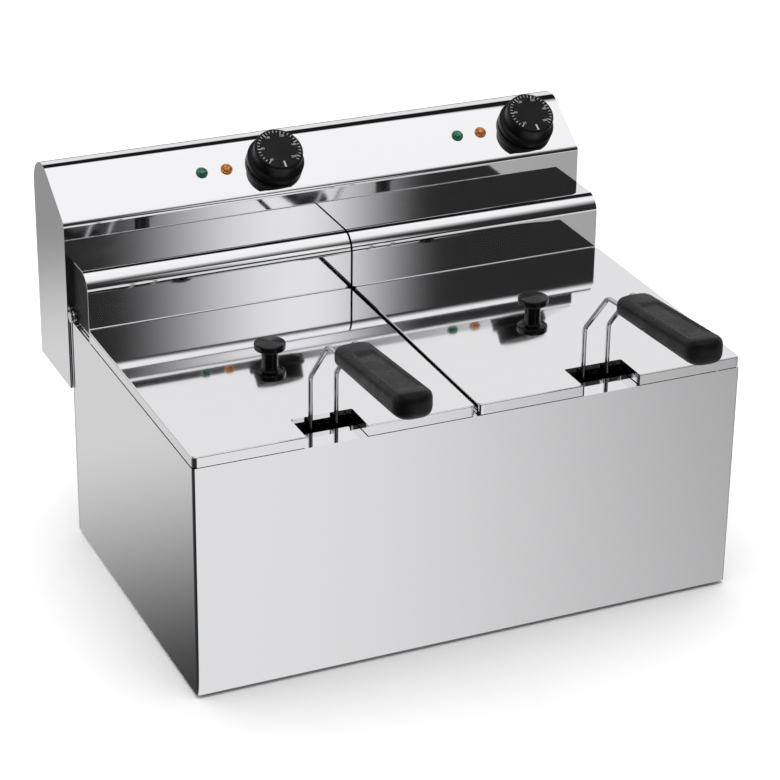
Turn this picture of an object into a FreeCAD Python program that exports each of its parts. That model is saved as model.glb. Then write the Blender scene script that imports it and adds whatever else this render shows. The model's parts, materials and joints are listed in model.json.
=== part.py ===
"""A countertop electric fryer with two oil bowls, in millimetres.

The origin is on the worktop under the middle of the whole fryer, from the handles' tips to the
screws in its back. +X is to the right of a cook who faces the fryer, +Y runs to the back and +Z up.
A box of polished steel holds two bowls. A control head hangs behind the box and carries the covers,
the heating elements and the two dials. A basket stands in each bowl under its own lid, and its
handle comes out of a notch in the lid's front edge.

Lengths are written as formulas in plain words. Words of SIZES are cells of the sheet, and words of
PLACES stand for the formula beside them. Places along Y are measured from the middle of the box,
and settle() then moves every sub-part by middle_line.
"""
import FreeCAD, Part
import Sketcher
import math
import os
import re
from FreeCAD import Placement, Rotation, Vector

SIZES = {
    # casing: the box that stands on the worktop
    "casing_width": 550, "casing_depth": 344, "casing_height": 231, "sheet_gauge": 1,
    "casing_bend": 3, "casing_flange": 34, "rear_flange": 14,
    # screws through sheet metal; a pan head is head_ratio times its radius tall
    "screw_radius": 1.6, "screw_head": 3.2, "screw_length": 8, "head_ratio": 0.6,
    "hole_clearance": 0.2, "drill_reach": 5,
    # feet
    "foot_height": 4, "foot_radius": 11, "foot_taper": 1.5, "foot_side_inset": 20,
    "foot_end_inset": 24, "foot_recess": 2.6, "foot_recess_radius": 4.2,
    "foot_screw_radius": 2, "foot_screw_head": 3.5, "foot_screw_length": 10,
    # cooling slots in the floor of the box
    "slot_width": 6, "base_slot_length": 90, "base_slot_margin": 77,
    # oil bowls
    "bowl_side_rim": 22.5, "bowl_front_rim": 25, "bowl_rear_rim": 19, "bowl_depth": 178,
    "bowl_corner": 24, "bowl_bend": 14, "bowl_lip": 9,
    # lids
    "lid_inset": 0.5, "lid_gap": 3.5, "lid_cover_gap": 1, "lid_height": 10.2,
    "lid_clearance": 0.8, "lid_corner": 5, "lid_edge_bend": 1.2,
    "notch_width": 60, "notch_depth": 38, "notch_corner": 2,
    # knobs of the lids
    "knob_back": 163.5, "knob_radius": 15, "knob_height": 19, "knob_stem": 7.8,
    "knob_cap": 7.5, "knob_fillet": 2.5, "knob_screw_radius": 2,
    "knob_screw_head": 4.2, "knob_screw_length": 12, "knob_edge": 1.4, "knob_crown": 1.2,
    # control column behind the box
    "column_overhang": 2.5, "column_depth": 94.4, "column_gap": 1.1, "column_drop": 74,
    "panel_rise": 100, "panel_slope": 34, "panel_bend": 8, "ridge_bend": 28,
    # ways for the wires in the column's front, and the service opening in its back
    "wire_way_width": 80, "wire_way_height": 24, "wire_way_lift": 16,
    "service_end_margin": 69.5, "service_low_margin": 8, "service_high_margin": 20,
    "service_lap": 16, "service_corner": 6, "service_slot_width": 5,
    "service_slot_height": 38, "service_slot_margin": 58, "service_slot_lift": 20,
    # covers between the column and the lids
    "cover_inset": 2, "cover_gap": 2.2, "cover_reach": 54.7, "cover_height": 66,
    "cover_bend": 18, "cover_clearance": 1, "box_inset": 2, "box_wall": 2, "plate_gauge": 2,
    "saddle_gap": 2, "stud_radius": 5.5, "stud_core": 3.8, "stud_ring": 2, "stud_groove": 1.3,
    "stud_setback": 7.5,
    # dials and lamps on the sloped panel
    "dial_end_inset": 47.5, "dial_spread": 3, "green_offset": 77, "orange_offset": 51,
    "dial_along": 36, "dial_radius": 29, "dial_cap_radius": 24.5, "dial_height": 23,
    "dial_lift": 1, "dial_skirt": 7, "dial_socket": 19, "dial_wall": 5, "shaft_radius": 3,
    "shaft_clearance": 0.08, "shaft_sink": 17, "shaft_length": 36,
    "bush_radius": 5, "bush_height": 7, "bush_clearance": 0.1,
    "thermostat_width": 38, "thermostat_length": 42, "thermostat_depth": 24,
    "lamp_radius": 6, "lamp_hole": 5, "lens_rim": 1.4, "lens_step": 1.2, "lens_height": 4.4,
    "lamp_body_length": 22,
    # heating elements and the racks over them
    "tube_radius": 4.2, "element_wall_gap": 31, "element_pitch": 38, "element_bend": 22,
    "element_height": 26, "element_front": 52, "leg_setback": 33, "leg_stub": 14,
    "rack_gauge": 2, "rack_bar": 9, "rack_setback": 60, "rack_end_gap": 4,
    # thermostat bulbs
    "bulb_radius": 3, "bulb_length": 88, "bulb_lift": 12, "capillary_radius": 1.5,
    "capillary_stub": 20,
    # baskets
    "basket_wall_gap": 17, "basket_leg_gap": 28.9, "basket_front": 41, "basket_drop": 20,
    "basket_corner": 22, "basket_bend": 12, "mesh_gauge": 1.4, "wire_radius": 2.4,
    "post_radius": 1.9, "post_inset": 12, "waist_lift": 24, "seat_gap": 0.3,
    # basket handles
    "rod_radius": 2.2, "rod_spread": 12.5, "riser_height": 52, "rod_bend": 13, "rod_foot": 20,
    "rod_slant": 49, "grip_rise": 4.5, "grip_start": 29, "grip_length": 143, "grip_width": 36,
    "grip_rear_height": 19, "grip_front_height": 25, "grip_height": 101, "rod_in_grip": 42,
    "grip_rear_round": 5, "grip_front_round": 9, "grip_edge_round": 6.5,
    # safety cut-outs under the column, with their reset buttons
    "cutout_setback": 57.5, "cutout_radius": 12, "cutout_height": 24, "cutout_bore": 10,
    "button_radius": 3.6, "button_clearance": 0.25, "button_hole_clearance": 0.8,
    "button_root": 6, "button_reach": 7, "reset_bush_radius": 7, "reset_bush_height": 3,
    # cable gland under the column
    "gland_end_inset": 62.5, "gland_radius": 9, "gland_bore": 4.5, "gland_rim": 3,
    "gland_flats": 5, "gland_nut": 4, "gland_collar": 12, "gland_taper": 2.4,
    "gland_thread": 1.1,
    # terminal block and contactors on the column's floor
    "strip_setback": 89, "strip_length": 60, "strip_width": 28, "strip_height": 14,
    "way_inset": 3, "way_pitch": 11.4, "way_width": 8.4, "way_length": 16, "way_height": 6,
    "relay_gap": 4, "relay_width": 34, "relay_length": 64, "relay_height": 28,
    "crown_length": 44, "crown_height": 31, "plunger_size": 16, "plunger_height": 4,
}

PLACES = {
    "deck_top": "foot_height + casing_height",
    "deck_under": "deck_top - sheet_gauge",
    "half_depth": "casing_depth/2",
    "half_width": "casing_width/2",
    "rear_wall_front": "half_depth - sheet_gauge",
    "bowl_pitch": "casing_width/2",
    "bowl_width": "bowl_pitch - 2*bowl_side_rim",
    "bowl_length": "casing_depth - bowl_front_rim - bowl_rear_rim",
    "bowl_front": "bowl_front_rim - half_depth",
    "bowl_bottom": "deck_under - bowl_depth",
    "lid_width": "(casing_width - 2*lid_inset - lid_gap)/2",
    "lid_length": "cover_front - lid_cover_gap + half_depth",
    "lid_base": "deck_top + lid_clearance",
    "lid_top": "lid_base + lid_height",
    "column_width": "casing_width + 2*column_overhang",
    "column_front": "half_depth + column_gap",
    "column_rear": "column_front + column_depth",
    "column_middle": "column_front + column_depth/2",
    "column_base": "deck_top - column_drop",
    "floor_top": "column_base + sheet_gauge",
    "panel_foot": "deck_top + panel_rise",
    "ridge_corner": "panel_foot + column_depth*tan(panel_slope)",
    "inner_foot": "panel_foot + sheet_gauge*tan(panel_slope) - sheet_gauge/cos(panel_slope)",
    "inner_ridge": "inner_foot + (column_depth - 2*sheet_gauge)*tan(panel_slope)",
    "service_half": "column_width/2 - service_end_margin",
    "service_base": "column_base + service_low_margin",
    "service_top": "panel_foot - service_high_margin",
    "slot_half": "service_half - service_slot_margin",
    "rearmost": "column_rear + sheet_gauge + head_ratio*screw_head",
    "cover_front": "column_front - cover_reach",
    "cover_top": "deck_top + cover_height",
    "cover_base": "deck_top + cover_clearance",
    "cover_half": "half_width - cover_inset",
    "cover_length": "cover_half - cover_gap/2",
    "saddle_base": "deck_top + seat_gap",
    "saddle_front": "bowl_front + bowl_length + saddle_gap",
    "plate_base": "saddle_base + sheet_gauge",
    "plate_top": "plate_base + plate_gauge",
    "box_length": "cover_length - 2*box_inset",
    "element_outer": "bowl_width/2 - element_wall_gap",
    "element_inner": "element_outer - element_pitch",
    "element_level": "bowl_bottom + sheet_gauge + element_height",
    "element_front_line": "element_front - half_depth",
    "leg_line": "column_front - leg_setback",
    "rack_base": "element_level + tube_radius + seat_gap",
    "rack_top": "rack_base + rack_gauge",
    "rack_front": "element_front_line + rack_setback",
    "rack_length": "leg_line - element_bend - rack_front",
    "basket_width": "bowl_width - 2*basket_wall_gap",
    "basket_length": "leg_line - tube_radius - basket_leg_gap - basket_start",
    "basket_base": "rack_top + seat_gap",
    "basket_top": "deck_top - basket_drop",
    "basket_start": "basket_front - half_depth",
    "rod_line": "basket_start - 2*wire_radius - rod_radius - 2*seat_gap",
    "riser_top": "deck_top + riser_height",
    "grip_level": "deck_top + grip_height",
    "grip_rear": "0 - grip_start - half_depth",
    "grip_tip": "grip_rear - grip_length",
    "middle_line": "(grip_tip + rearmost)/2",
    "gland_middle": "column_width/2 - gland_end_inset",
}

BASE_SLOTS, SERVICE_SLOTS, RACK_BARS, TERMINAL_WAYS = 19, 25, 4, 5
PLACED_BACK = {}
SIDES = {"left": "0 - ", "right": ""}
PLANES = {"XY": "XY_Plane", "XZ": "XZ_Plane", "YZ": "YZ_Plane"}
UP, RIGHT, BACK = Vector(0, 0, 1), Vector(1, 0, 0), Vector(0, 1, 0)
NO_TURN = Rotation()
ALONG_Y = Rotation(RIGHT, -90)
UPSIDE_DOWN = Rotation(RIGHT, 180)
KNEE_TURN = Rotation(BACK, UP * -1, RIGHT * -1, "XYZ")

doc = FreeCAD.newDocument("TwinFryer")
sheet = doc.addObject("Spreadsheet::Sheet", "Sizes")
for row, (word, amount) in enumerate(SIZES.items(), start=1):
    sheet.set(f"A{row}", word.replace("_", " "))
    sheet.set(f"B{row}", str(amount))
    sheet.setAlias(f"B{row}", word)
doc.recompute()


# formulas and placing

def formula(words):
    """Spell a formula in plain words as an expression on the sheet."""
    def spell(match):
        word = match.group(0)
        if word in SIZES:
            return "Sizes." + word
        if word in PLACES:
            return "(" + formula(PLACES[word]) + ")"
        return word
    return re.sub(r"[a-z][a-z_]+", spell, str(words))


def number(words):
    """The value of a formula with the sheet's present sizes."""
    result = sheet.evalExpression(formula(words))
    return float(getattr(result, "Value", result))


def bind(thing, setting, words):
    """Tie one setting of an object to a formula."""
    thing.setExpression(setting, formula(words))


def place(thing, at=(0, 0, 0), turn=NO_TURN):
    """Turn an object and put its own origin at three formulas, Y from the middle of the box."""
    thing.Placement = Placement(Vector(), turn)
    for axis, words in zip("xyz", at):
        bind(thing, f"Placement.Base.{axis}", words)
    PLACED_BACK[thing.Name] = at[1]
    return thing


def settle(nodes):
    """Move every sub-part along Y, so that the origin lies under the middle of the whole fryer."""
    for node in nodes:
        bind(node, "Placement.Base.y", f"{PLACED_BACK.get(node.Name, 0)} - middle_line")


def on_panel(thing, across, along, lift=0):
    """Stand an object on the sloped panel, its own Z along the panel's outward normal."""
    place(thing, (across,
                  f"column_front + ({along})*cos(panel_slope) - ({lift})*sin(panel_slope)",
                  f"panel_foot + ({along})*sin(panel_slope) + ({lift})*cos(panel_slope)"),
          Rotation(RIGHT, number("panel_slope")))
    bind(thing, "Placement.Rotation.Angle", "panel_slope * 1 deg")
    return thing


def offset(sign, words):
    """A formula on the left (minus) or the right (plus) of the middle."""
    return f"{sign}({words})"


# primitives and booleans

def block(name, at, size):
    """A box from its lowest corner and its three sizes."""
    thing = doc.addObject("Part::Box", name)
    for setting, words in zip(("Length", "Width", "Height"), size):
        bind(thing, setting, words)
    return place(thing, at)


def rod(name, at, radius, length, turn=NO_TURN):
    """A cylinder that starts at a point and runs along its turned Z."""
    thing = doc.addObject("Part::Cylinder", name)
    bind(thing, "Radius", radius)
    bind(thing, "Height", length)
    return place(thing, at, turn)


def drill(name, at, radius, turn=NO_TURN):
    """A cutting cylinder that passes through thin sheet at a point, up or along Y."""
    across, back, up = at
    start = (across, f"{back} - drill_reach", up) if turn == ALONG_Y else (
        across, back, f"{up} - drill_reach")
    return rod(name, start, radius, "2*drill_reach", turn)


def panel_rod(name, across, radius, length, start):
    """A cylinder that stands on the panel's dial line, from a depth below the panel's face."""
    thing = doc.addObject("Part::Cylinder", name)
    bind(thing, "Radius", radius)
    bind(thing, "Height", length)
    return on_panel(thing, across, "dial_along", start)


def cone(name, at, start_radius, end_radius, length, turn=NO_TURN):
    """A cone or taper that starts at a point and runs along its turned Z."""
    thing = doc.addObject("Part::Cone", name)
    bind(thing, "Radius1", start_radius)
    bind(thing, "Radius2", end_radius)
    bind(thing, "Height", length)
    return place(thing, at, turn)


def ring_piece(name, at, bend, radius, sweep, turn):
    """A bent tube: part of a torus round its turned Z, from its turned X."""
    thing = doc.addObject("Part::Torus", name)
    bind(thing, "Radius1", bend)
    bind(thing, "Radius2", radius)
    thing.Angle3 = sweep
    return place(thing, at, turn)


def joined(name, pieces):
    """One solid from pieces that meet."""
    thing = doc.addObject("Part::MultiFuse", name)
    thing.Shapes = pieces
    return thing


def without(name, base, *tools):
    """The base with the tools cut out of it."""
    tool = tools[0] if len(tools) == 1 else joined(name + "_tools", list(tools))
    thing = doc.addObject("Part::Cut", name)
    thing.Base = base
    thing.Tool = tool
    return thing


def group(name, pieces):
    """Separate solids that share a node."""
    thing = doc.addObject("Part::Compound", name)
    thing.Links = pieces
    return thing


# sketches and the features on them

def new_body(name, at=(0, 0, 0), turn=NO_TURN):
    """An empty PartDesign body at a place."""
    return place(doc.addObject("PartDesign::Body", name), at, turn)


def new_sketch(owner, name, plane, lift=None):
    """A sketch on one of the body's own planes, raised from it along its normal by a formula."""
    drawing = owner.newObject("Sketcher::SketchObject", name)
    flat = next(f for f in owner.Origin.OriginFeatures if f.Role == PLANES[plane])
    drawing.AttachmentSupport = [(flat, "")]
    drawing.MapMode = "FlatFace"
    if lift is not None:
        bind(drawing, "AttachmentOffset.Base.z", lift)
    return drawing


def pin(drawing, geometry, end, across, up):
    """Hold a point of a sketch at two formulas from the sketch's origin."""
    for kind, words in (("DistanceX", across), ("DistanceY", up)):
        index = drawing.addConstraint(
            Sketcher.Constraint(kind, -1, 1, geometry, end, number(words)))
        bind(drawing, f"Constraints[{index}]", words)


def outline(drawing, corners, closed=True):
    """Straight runs through corners given as (across, up, radius), joined by tangent arcs."""
    count = len(corners)
    points = [Vector(number(c[0]), number(c[1]), 0) for c in corners]
    radii = [number(c[2]) if len(c) > 2 else 0 for c in corners]
    reach = []
    for i, corner in enumerate(points):
        if not radii[i]:
            reach.append((corner, corner))
            continue
        before = (points[i - 1] - corner).normalize()
        after = (points[(i + 1) % count] - corner).normalize()
        length = radii[i] / math.tan(before.getAngle(after) / 2)
        reach.append((corner + before * length, corner + after * length))
    runs = []
    for i in range(count if closed else count - 1):
        j = (i + 1) % count
        runs.append(drawing.addGeometry(Part.LineSegment(reach[i][1], reach[j][0]), False))
    if not closed:
        pin(drawing, runs[0], 1, *corners[0][:2])
        pin(drawing, runs[-1], 2, *corners[-1][:2])
    for i in range(0 if closed else 1, count if closed else count - 1):
        before, after = runs[i - 1], runs[i]
        if not radii[i]:
            drawing.addConstraint(Sketcher.Constraint("Coincident", before, 2, after, 1))
            pin(drawing, before, 2, *corners[i][:2])
            continue
        start, end = reach[i]
        inward = ((start + end) * 0.5 - points[i]).normalize()
        half = (start - points[i]).getAngle(end - points[i]) / 2
        crown = points[i] + inward * (radii[i] / math.sin(half) - radii[i])
        arc = drawing.addGeometry(Part.Arc(start, crown, end), False)
        starts_first = drawing.getPoint(arc, 1).distanceToPoint(start) < 1e-6
        first, last = (1, 2) if starts_first else (2, 1)
        drawing.addConstraint(Sketcher.Constraint("Tangent", before, 2, arc, first))
        drawing.addConstraint(Sketcher.Constraint("Tangent", arc, last, after, 1))
        index = drawing.addConstraint(Sketcher.Constraint("Radius", arc, radii[i]))
        bind(drawing, f"Constraints[{index}]", corners[i][2])
        dot = drawing.addGeometry(Part.Point(points[i]), True)
        drawing.addConstraint(Sketcher.Constraint("PointOnObject", dot, 1, before))
        drawing.addConstraint(Sketcher.Constraint("PointOnObject", dot, 1, after))
        pin(drawing, dot, 1, *corners[i][:2])
    return drawing


def circle(drawing, across, up, radius):
    """A full circle held at two formulas."""
    centre = Vector(number(across), number(up), 0)
    ring = drawing.addGeometry(Part.Circle(centre, UP, number(radius)), False)
    index = drawing.addConstraint(Sketcher.Constraint("Radius", ring, number(radius)))
    bind(drawing, f"Constraints[{index}]", radius)
    pin(drawing, ring, 3, across, up)
    return drawing


def pad(owner, drawing, length):
    """Add the sketch's area, carried along its normal."""
    feature = owner.newObject("PartDesign::Pad", drawing.Name + "_pad")
    feature.Profile = drawing
    bind(feature, "Length", length)
    return feature


def pocket(owner, drawing, length):
    """Cut the sketch's area out, carried along its normal."""
    doc.recompute()
    before = owner.Shape.Volume
    feature = owner.newObject("PartDesign::Pocket", drawing.Name + "_pocket")
    feature.Profile = drawing
    feature.Reversed = True
    bind(feature, "Length", length)
    doc.recompute()
    if owner.Shape.Volume >= before:
        raise RuntimeError(f"{feature.Name} cuts nothing")
    return feature


def rounded(owner, feature, radius, chooser):
    """Round the feature's edges that the chooser picks."""
    doc.recompute()
    names = [f"Edge{i}" for i, edge in enumerate(feature.Shape.Edges, start=1) if chooser(edge)]
    if not names:
        raise RuntimeError(f"{feature.Name} has no edge to round")
    fillet = owner.newObject("PartDesign::Fillet", feature.Name + "_fillet")
    fillet.Base = (feature, names)
    bind(fillet, "Radius", radius)
    return fillet


def level(height):
    """Choose the edges that lie flat at one height of the body's own frame."""
    def chosen(edge):
        box = edge.BoundBox
        return abs(box.ZMin - height) < 1e-4 and abs(box.ZMax - height) < 1e-4
    return chosen


def extruded(name, plane, corners, length, at=(0, 0, 0), turn=NO_TURN):
    """A body of constant section: one outline, carried along its plane's normal."""
    owner = new_body(name, at, turn)
    pad(owner, outline(new_sketch(owner, name + "_section", plane), corners), length)
    return owner


def turned(name, corners, at=(0, 0, 0), turn=NO_TURN):
    """A body of revolution round its own Z: the outline is given as (radius, height, bend)."""
    owner = new_body(name, at, turn)
    drawing = outline(new_sketch(owner, name + "_section", "XZ"), corners)
    feature = owner.newObject("PartDesign::Revolution", name + "_turn")
    feature.Profile = drawing
    feature.ReferenceAxis = (drawing, ["V_Axis"])
    feature.Angle = 360
    return owner


def tub(owner, outer_plan, inner_plan, depth, gauge, bend):
    """An open tub of one gauge with a bent bottom edge, inside and out."""
    outer = outline(new_sketch(owner, owner.Name + "_outer", "XY"), outer_plan)
    pad(owner, outer, depth)
    inner = outline(new_sketch(owner, owner.Name + "_inner", "XY", gauge), inner_plan)
    hollow = pocket(owner, inner, depth)
    inside = rounded(owner, hollow, f"{bend} - {gauge}", level(number(gauge)))
    rounded(owner, inside, bend, level(0))


def rectangle(x_low, y_low, x_high, y_high, bend=None):
    """The four corners of an upright rectangle, rounded or sharp."""
    tail = () if bend is None else (bend,)
    return [(x_low, y_low) + tail, (x_high, y_low) + tail,
            (x_high, y_high) + tail, (x_low, y_high) + tail]


def pan_screw(name, at, head_radius, shank_radius, shank_length, turn=NO_TURN):
    """A pan-head screw, its head standing out along its turned Z and its shank behind."""
    head_height, crown = f"head_ratio*{head_radius}", f"0.4*{head_radius}"
    return turned(name, [(0, f"0 - {shank_length}"), (shank_radius, f"0 - {shank_length}"),
                         (shank_radius, 0), (head_radius, 0), (head_radius, head_height, crown),
                         (0, head_height)], at, turn)


# housing: the box, its bowls and its feet

def foot_spots():
    """The four places of the feet, as (x, y) formulas."""
    return [(f"{a}(half_width - foot_side_inset)", f"{b}(half_depth - foot_end_inset)")
            for a in ("0 - ", "") for b in ("0 - ", "")]


def make_casing():
    """Front and side walls bent from one sheet, with flanges at the back and under the floor."""
    owner = new_body("casing_sheet", (0, 0, "foot_height"))
    back, gauge, bend = "rear_wall_front", "sheet_gauge", "casing_bend"
    inner = "casing_bend - sheet_gauge"
    walls = []
    for sign in ("0 - ", ""):
        outer_side = [(f"{sign}(half_width - rear_flange)", back), (f"{sign}half_width", back, bend),
                      (f"{sign}half_width", "0 - half_depth", bend)]
        walls.append(outer_side)
    inner_wall = [("half_width - rear_flange", f"{back} - {gauge}"),
                  (f"half_width - {gauge}", f"{back} - {gauge}", inner),
                  (f"half_width - {gauge}", f"{gauge} - half_depth", inner),
                  (f"{gauge} - half_width", f"{gauge} - half_depth", inner),
                  (f"{gauge} - half_width", f"{back} - {gauge}", inner),
                  ("rear_flange - half_width", f"{back} - {gauge}")]
    section = walls[0] + walls[1][::-1] + inner_wall
    pad(owner, outline(new_sketch(owner, "casing_walls", "XY"), section),
        "casing_height - sheet_gauge")
    flange = new_sketch(owner, "casing_flange_plan", "XY")
    outline(flange, rectangle("0 - half_width", "0 - half_depth", "half_width", back, bend))
    outline(flange, rectangle("casing_flange - half_width", "casing_flange - half_depth",
                              "half_width - casing_flange", f"{back} - casing_flange"))
    for across, up in foot_spots():
        circle(flange, across, up, "foot_screw_radius + hole_clearance")
    pad(owner, flange, gauge)
    return without("casing", owner, *rear_wall_drills("casing"))


def rear_wall_drills(word):
    """Cutting tools for the screws of the rear wall, through it and the casing's flanges."""
    return [drill(f"{word}_drill_{i}", (x, "half_depth", z), "screw_radius", ALONG_Y)
            for i, (x, z) in enumerate(rear_screw_spots())]


def make_rear_wall():
    """Flat back of the box, screwed to the casing's rear flanges."""
    base = extruded("rear_wall_sheet", "XZ",
                    rectangle("0 - half_width", "foot_height", "half_width", "deck_under"),
                    "sheet_gauge", (0, "half_depth", 0))
    return without("rear_wall", base, *rear_wall_drills("rear_wall"))


def rear_screw_spots():
    """Screws of the rear wall, all below the hanging column, as (x, z) formulas."""
    return [(f"{sign}(half_width - sheet_gauge - rear_flange/2)", z)
            for sign in SIDES.values()
            for z in ("foot_height + casing_flange", "column_base - casing_flange")]


def make_base_plate():
    """Floor of the box, on the casing's flanges, with cooling slots."""
    owner = new_body("base_plate", (0, 0, "foot_height + sheet_gauge"))
    plan = new_sketch(owner, "base_plate_plan", "XY")
    outline(plan, rectangle("sheet_gauge - half_width", "sheet_gauge - half_depth",
                            "half_width - sheet_gauge", "rear_wall_front - sheet_gauge",
                            "casing_bend - sheet_gauge"))
    for across, up in foot_spots():
        circle(plan, across, up, "foot_screw_radius + hole_clearance")
    pad(owner, plan, "sheet_gauge")
    slot = new_sketch(owner, "base_slot_plan", "XY")
    start = "(base_slot_margin - half_width)"
    outline(slot, rectangle(start, "0 - base_slot_length/2", f"{start} + slot_width",
                            "base_slot_length/2", "0.48*slot_width"))
    slot_row(owner, slot, "casing_width - 2*base_slot_margin - slot_width", BASE_SLOTS)
    return owner


def slot_row(owner, slot, length, count):
    """Cut a slot through the body's sheet and repeat it along the sketch's own X."""
    row = owner.newObject("PartDesign::LinearPattern", slot.Name + "_row")
    row.Originals = [pocket(owner, slot, "sheet_gauge")]
    row.Direction = (slot, ["H_Axis"])
    bind(row, "Length", length)
    row.Occurrences = count
    owner.Tip = row


def make_deck():
    """Top sheet of the box, with the two openings that the bowls hang in."""
    owner = new_body("deck", (0, 0, "deck_under"))
    plan = new_sketch(owner, "deck_plan", "XY")
    outline(plan, [("0 - half_width", "half_depth"), ("0 - half_width", "0 - half_depth", "casing_bend"),
                   ("half_width", "0 - half_depth", "casing_bend"), ("half_width", "half_depth")])
    for sign in SIDES.values():
        middle = offset(sign, "bowl_pitch/2")
        outline(plan, rectangle(f"{middle} - bowl_width/2 + sheet_gauge", "bowl_front + sheet_gauge",
                                f"{middle} + bowl_width/2 - sheet_gauge",
                                "bowl_front + bowl_length - sheet_gauge",
                                "bowl_corner - sheet_gauge"))
    pad(owner, plan, "sheet_gauge")
    return owner


def make_bowl(side, sign):
    """A deep drawn oil bowl with a lip that is welded under the deck."""
    name = f"bowl_{side}"
    owner = new_body(name, (offset(sign, "bowl_pitch/2"), "bowl_front", "bowl_bottom"))
    gauge, corner = "sheet_gauge", "bowl_corner"
    tub(owner, rectangle("0 - bowl_width/2", 0, "bowl_width/2", "bowl_length", corner),
        rectangle(f"{gauge} - bowl_width/2", gauge, f"bowl_width/2 - {gauge}",
                  f"bowl_length - {gauge}", f"{corner} - {gauge}"), "bowl_depth", gauge, "bowl_bend")
    lip = new_sketch(owner, name + "_lip", "XY", f"bowl_depth - {gauge}")
    outline(lip, rectangle("0 - bowl_width/2 - bowl_lip", "0 - bowl_lip", "bowl_width/2 + bowl_lip",
                           "bowl_length + bowl_lip", f"{corner} + bowl_lip"))
    outline(lip, rectangle("0 - bowl_width/2", 0, "bowl_width/2", "bowl_length", corner))
    pad(owner, lip, gauge)
    return owner


def make_feet():
    """Rubber feet, each with a recess for its screw."""
    feet, screws = [], []
    for i, (x, y) in enumerate(foot_spots()):
        cup = cone(f"foot_cup_{i}", (x, y, 0), "foot_radius - foot_taper", "foot_radius",
                   "foot_height")
        recess = rod(f"foot_recess_{i}", (x, y, 0), "foot_recess_radius", "foot_recess")
        bore = drill(f"foot_bore_{i}", (x, y, 0), "foot_screw_radius + hole_clearance")
        feet.append(without(f"foot_{i}", cup, recess, bore))
        screws.append(pan_screw(f"foot_screw_{i}", (x, y, "foot_recess"), "foot_screw_head",
                                "foot_screw_radius", "foot_screw_length", UPSIDE_DOWN))
    return [group("feet", feet), group("foot_screws", screws)]


def make_rear_screws():
    """Pan-head screws that hold the rear wall."""
    return group("rear_wall_screws",
                 [pan_screw(f"rear_screw_{i}", (x, "half_depth", z), "screw_head",
                            "screw_radius", "screw_length", ALONG_Y)
                  for i, (x, z) in enumerate(rear_screw_spots())])


# head: the column

def panel_spots():
    """Dial and lamp places across the panel for each side, as formulas."""
    dials = {"left": "column_width/2 - dial_end_inset - bowl_pitch - dial_spread",
             "right": "column_width/2 - dial_end_inset"}
    return {side: {"dial": x, "green": f"{x} - green_offset", "orange": f"{x} - orange_offset"}
            for side, x in dials.items()}


def column_outline():
    """Side view of the column, from its bottom front corner round to its bottom rear corner."""
    return [("column_front", "column_base"), ("column_front", "panel_foot", "panel_bend"),
            ("column_rear", "ridge_corner", "ridge_bend"), ("column_rear", "column_base")]


def cutout_spots():
    """Where the safety cut-outs stand on the column's floor, as (x, y) formulas."""
    return {side: (offset(sign, "bowl_pitch/2 - cutout_setback"), "column_middle")
            for side, sign in SIDES.items()}


def make_column_shell():
    """Front, slope, ridge and back of the column, bent from one sheet."""
    gauge = "sheet_gauge"
    inner = [("column_rear - sheet_gauge", "column_base"),
             ("column_rear - sheet_gauge", "inner_ridge", "ridge_bend - sheet_gauge"),
             ("column_front + sheet_gauge", "inner_foot", "panel_bend - sheet_gauge"),
             ("column_front + sheet_gauge", "column_base")]
    bent = extruded("column_sheet", "YZ", column_outline() + inner, f"column_width - 2*{gauge}",
                    (f"{gauge} - column_width/2", 0, 0))
    tools = []
    for side, spots in panel_spots().items():
        for what, radius in (("dial", "bush_radius + bush_clearance"), ("green", "lamp_hole"),
                             ("orange", "lamp_hole")):
            tools.append(panel_rod(f"{what}_drill_{side}", spots[what], radius, "2*drill_reach",
                                   "0 - drill_reach"))
        middle = offset(SIDES[side], "bowl_pitch/2")
        tools.append(block(f"wire_way_{side}",
                           (f"{middle} - wire_way_width/2", "column_front - drill_reach",
                            "plate_top + wire_way_lift"),
                           ("wire_way_width", "2*drill_reach", "wire_way_height")))
    tools.append(block("service_way",
                       ("service_lap - service_half", "column_rear - drill_reach",
                        "service_base + service_lap"),
                       ("2*service_half - 2*service_lap", "2*drill_reach",
                        "service_top - service_base - 2*service_lap")))
    tools += [drill(f"service_drill_{i}", (x, "column_rear", z), "screw_radius", ALONG_Y)
              for i, (x, z) in enumerate(cover_screw_spots())]
    return without("column_shell", bent, *tools)


def make_column_ends():
    """Flat plates that close the column's two ends."""
    return [extruded(f"column_end_{side}", "YZ", column_outline(), "sheet_gauge", (start, 0, 0))
            for side, start in (("left", "0 - column_width/2"),
                                ("right", "column_width/2 - sheet_gauge"))]


def make_column_floor():
    """Bottom of the column, with holes for the gland and the reset buttons."""
    base = block("column_floor_sheet",
                 ("sheet_gauge - column_width/2", "column_front + sheet_gauge", "column_base"),
                 ("column_width - 2*sheet_gauge", "column_depth - 2*sheet_gauge", "sheet_gauge"))
    holes = [drill(f"reset_hole_{side}", (x, y, "column_base"),
                   "button_radius + button_hole_clearance")
             for side, (x, y) in cutout_spots().items()]
    holes.append(drill("gland_hole", ("gland_middle", "column_middle", "column_base"),
                       "gland_radius - gland_thread + bush_clearance"))
    return without("column_floor", base, *holes)


def cover_screw_spots():
    """Screws of the service cover, as (x, z) formulas."""
    return [(x, z) for x in ("service_lap/2 - service_half", 0, "service_half - service_lap/2")
            for z in ("service_base + service_lap/2", "service_top - service_lap/2")]


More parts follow.
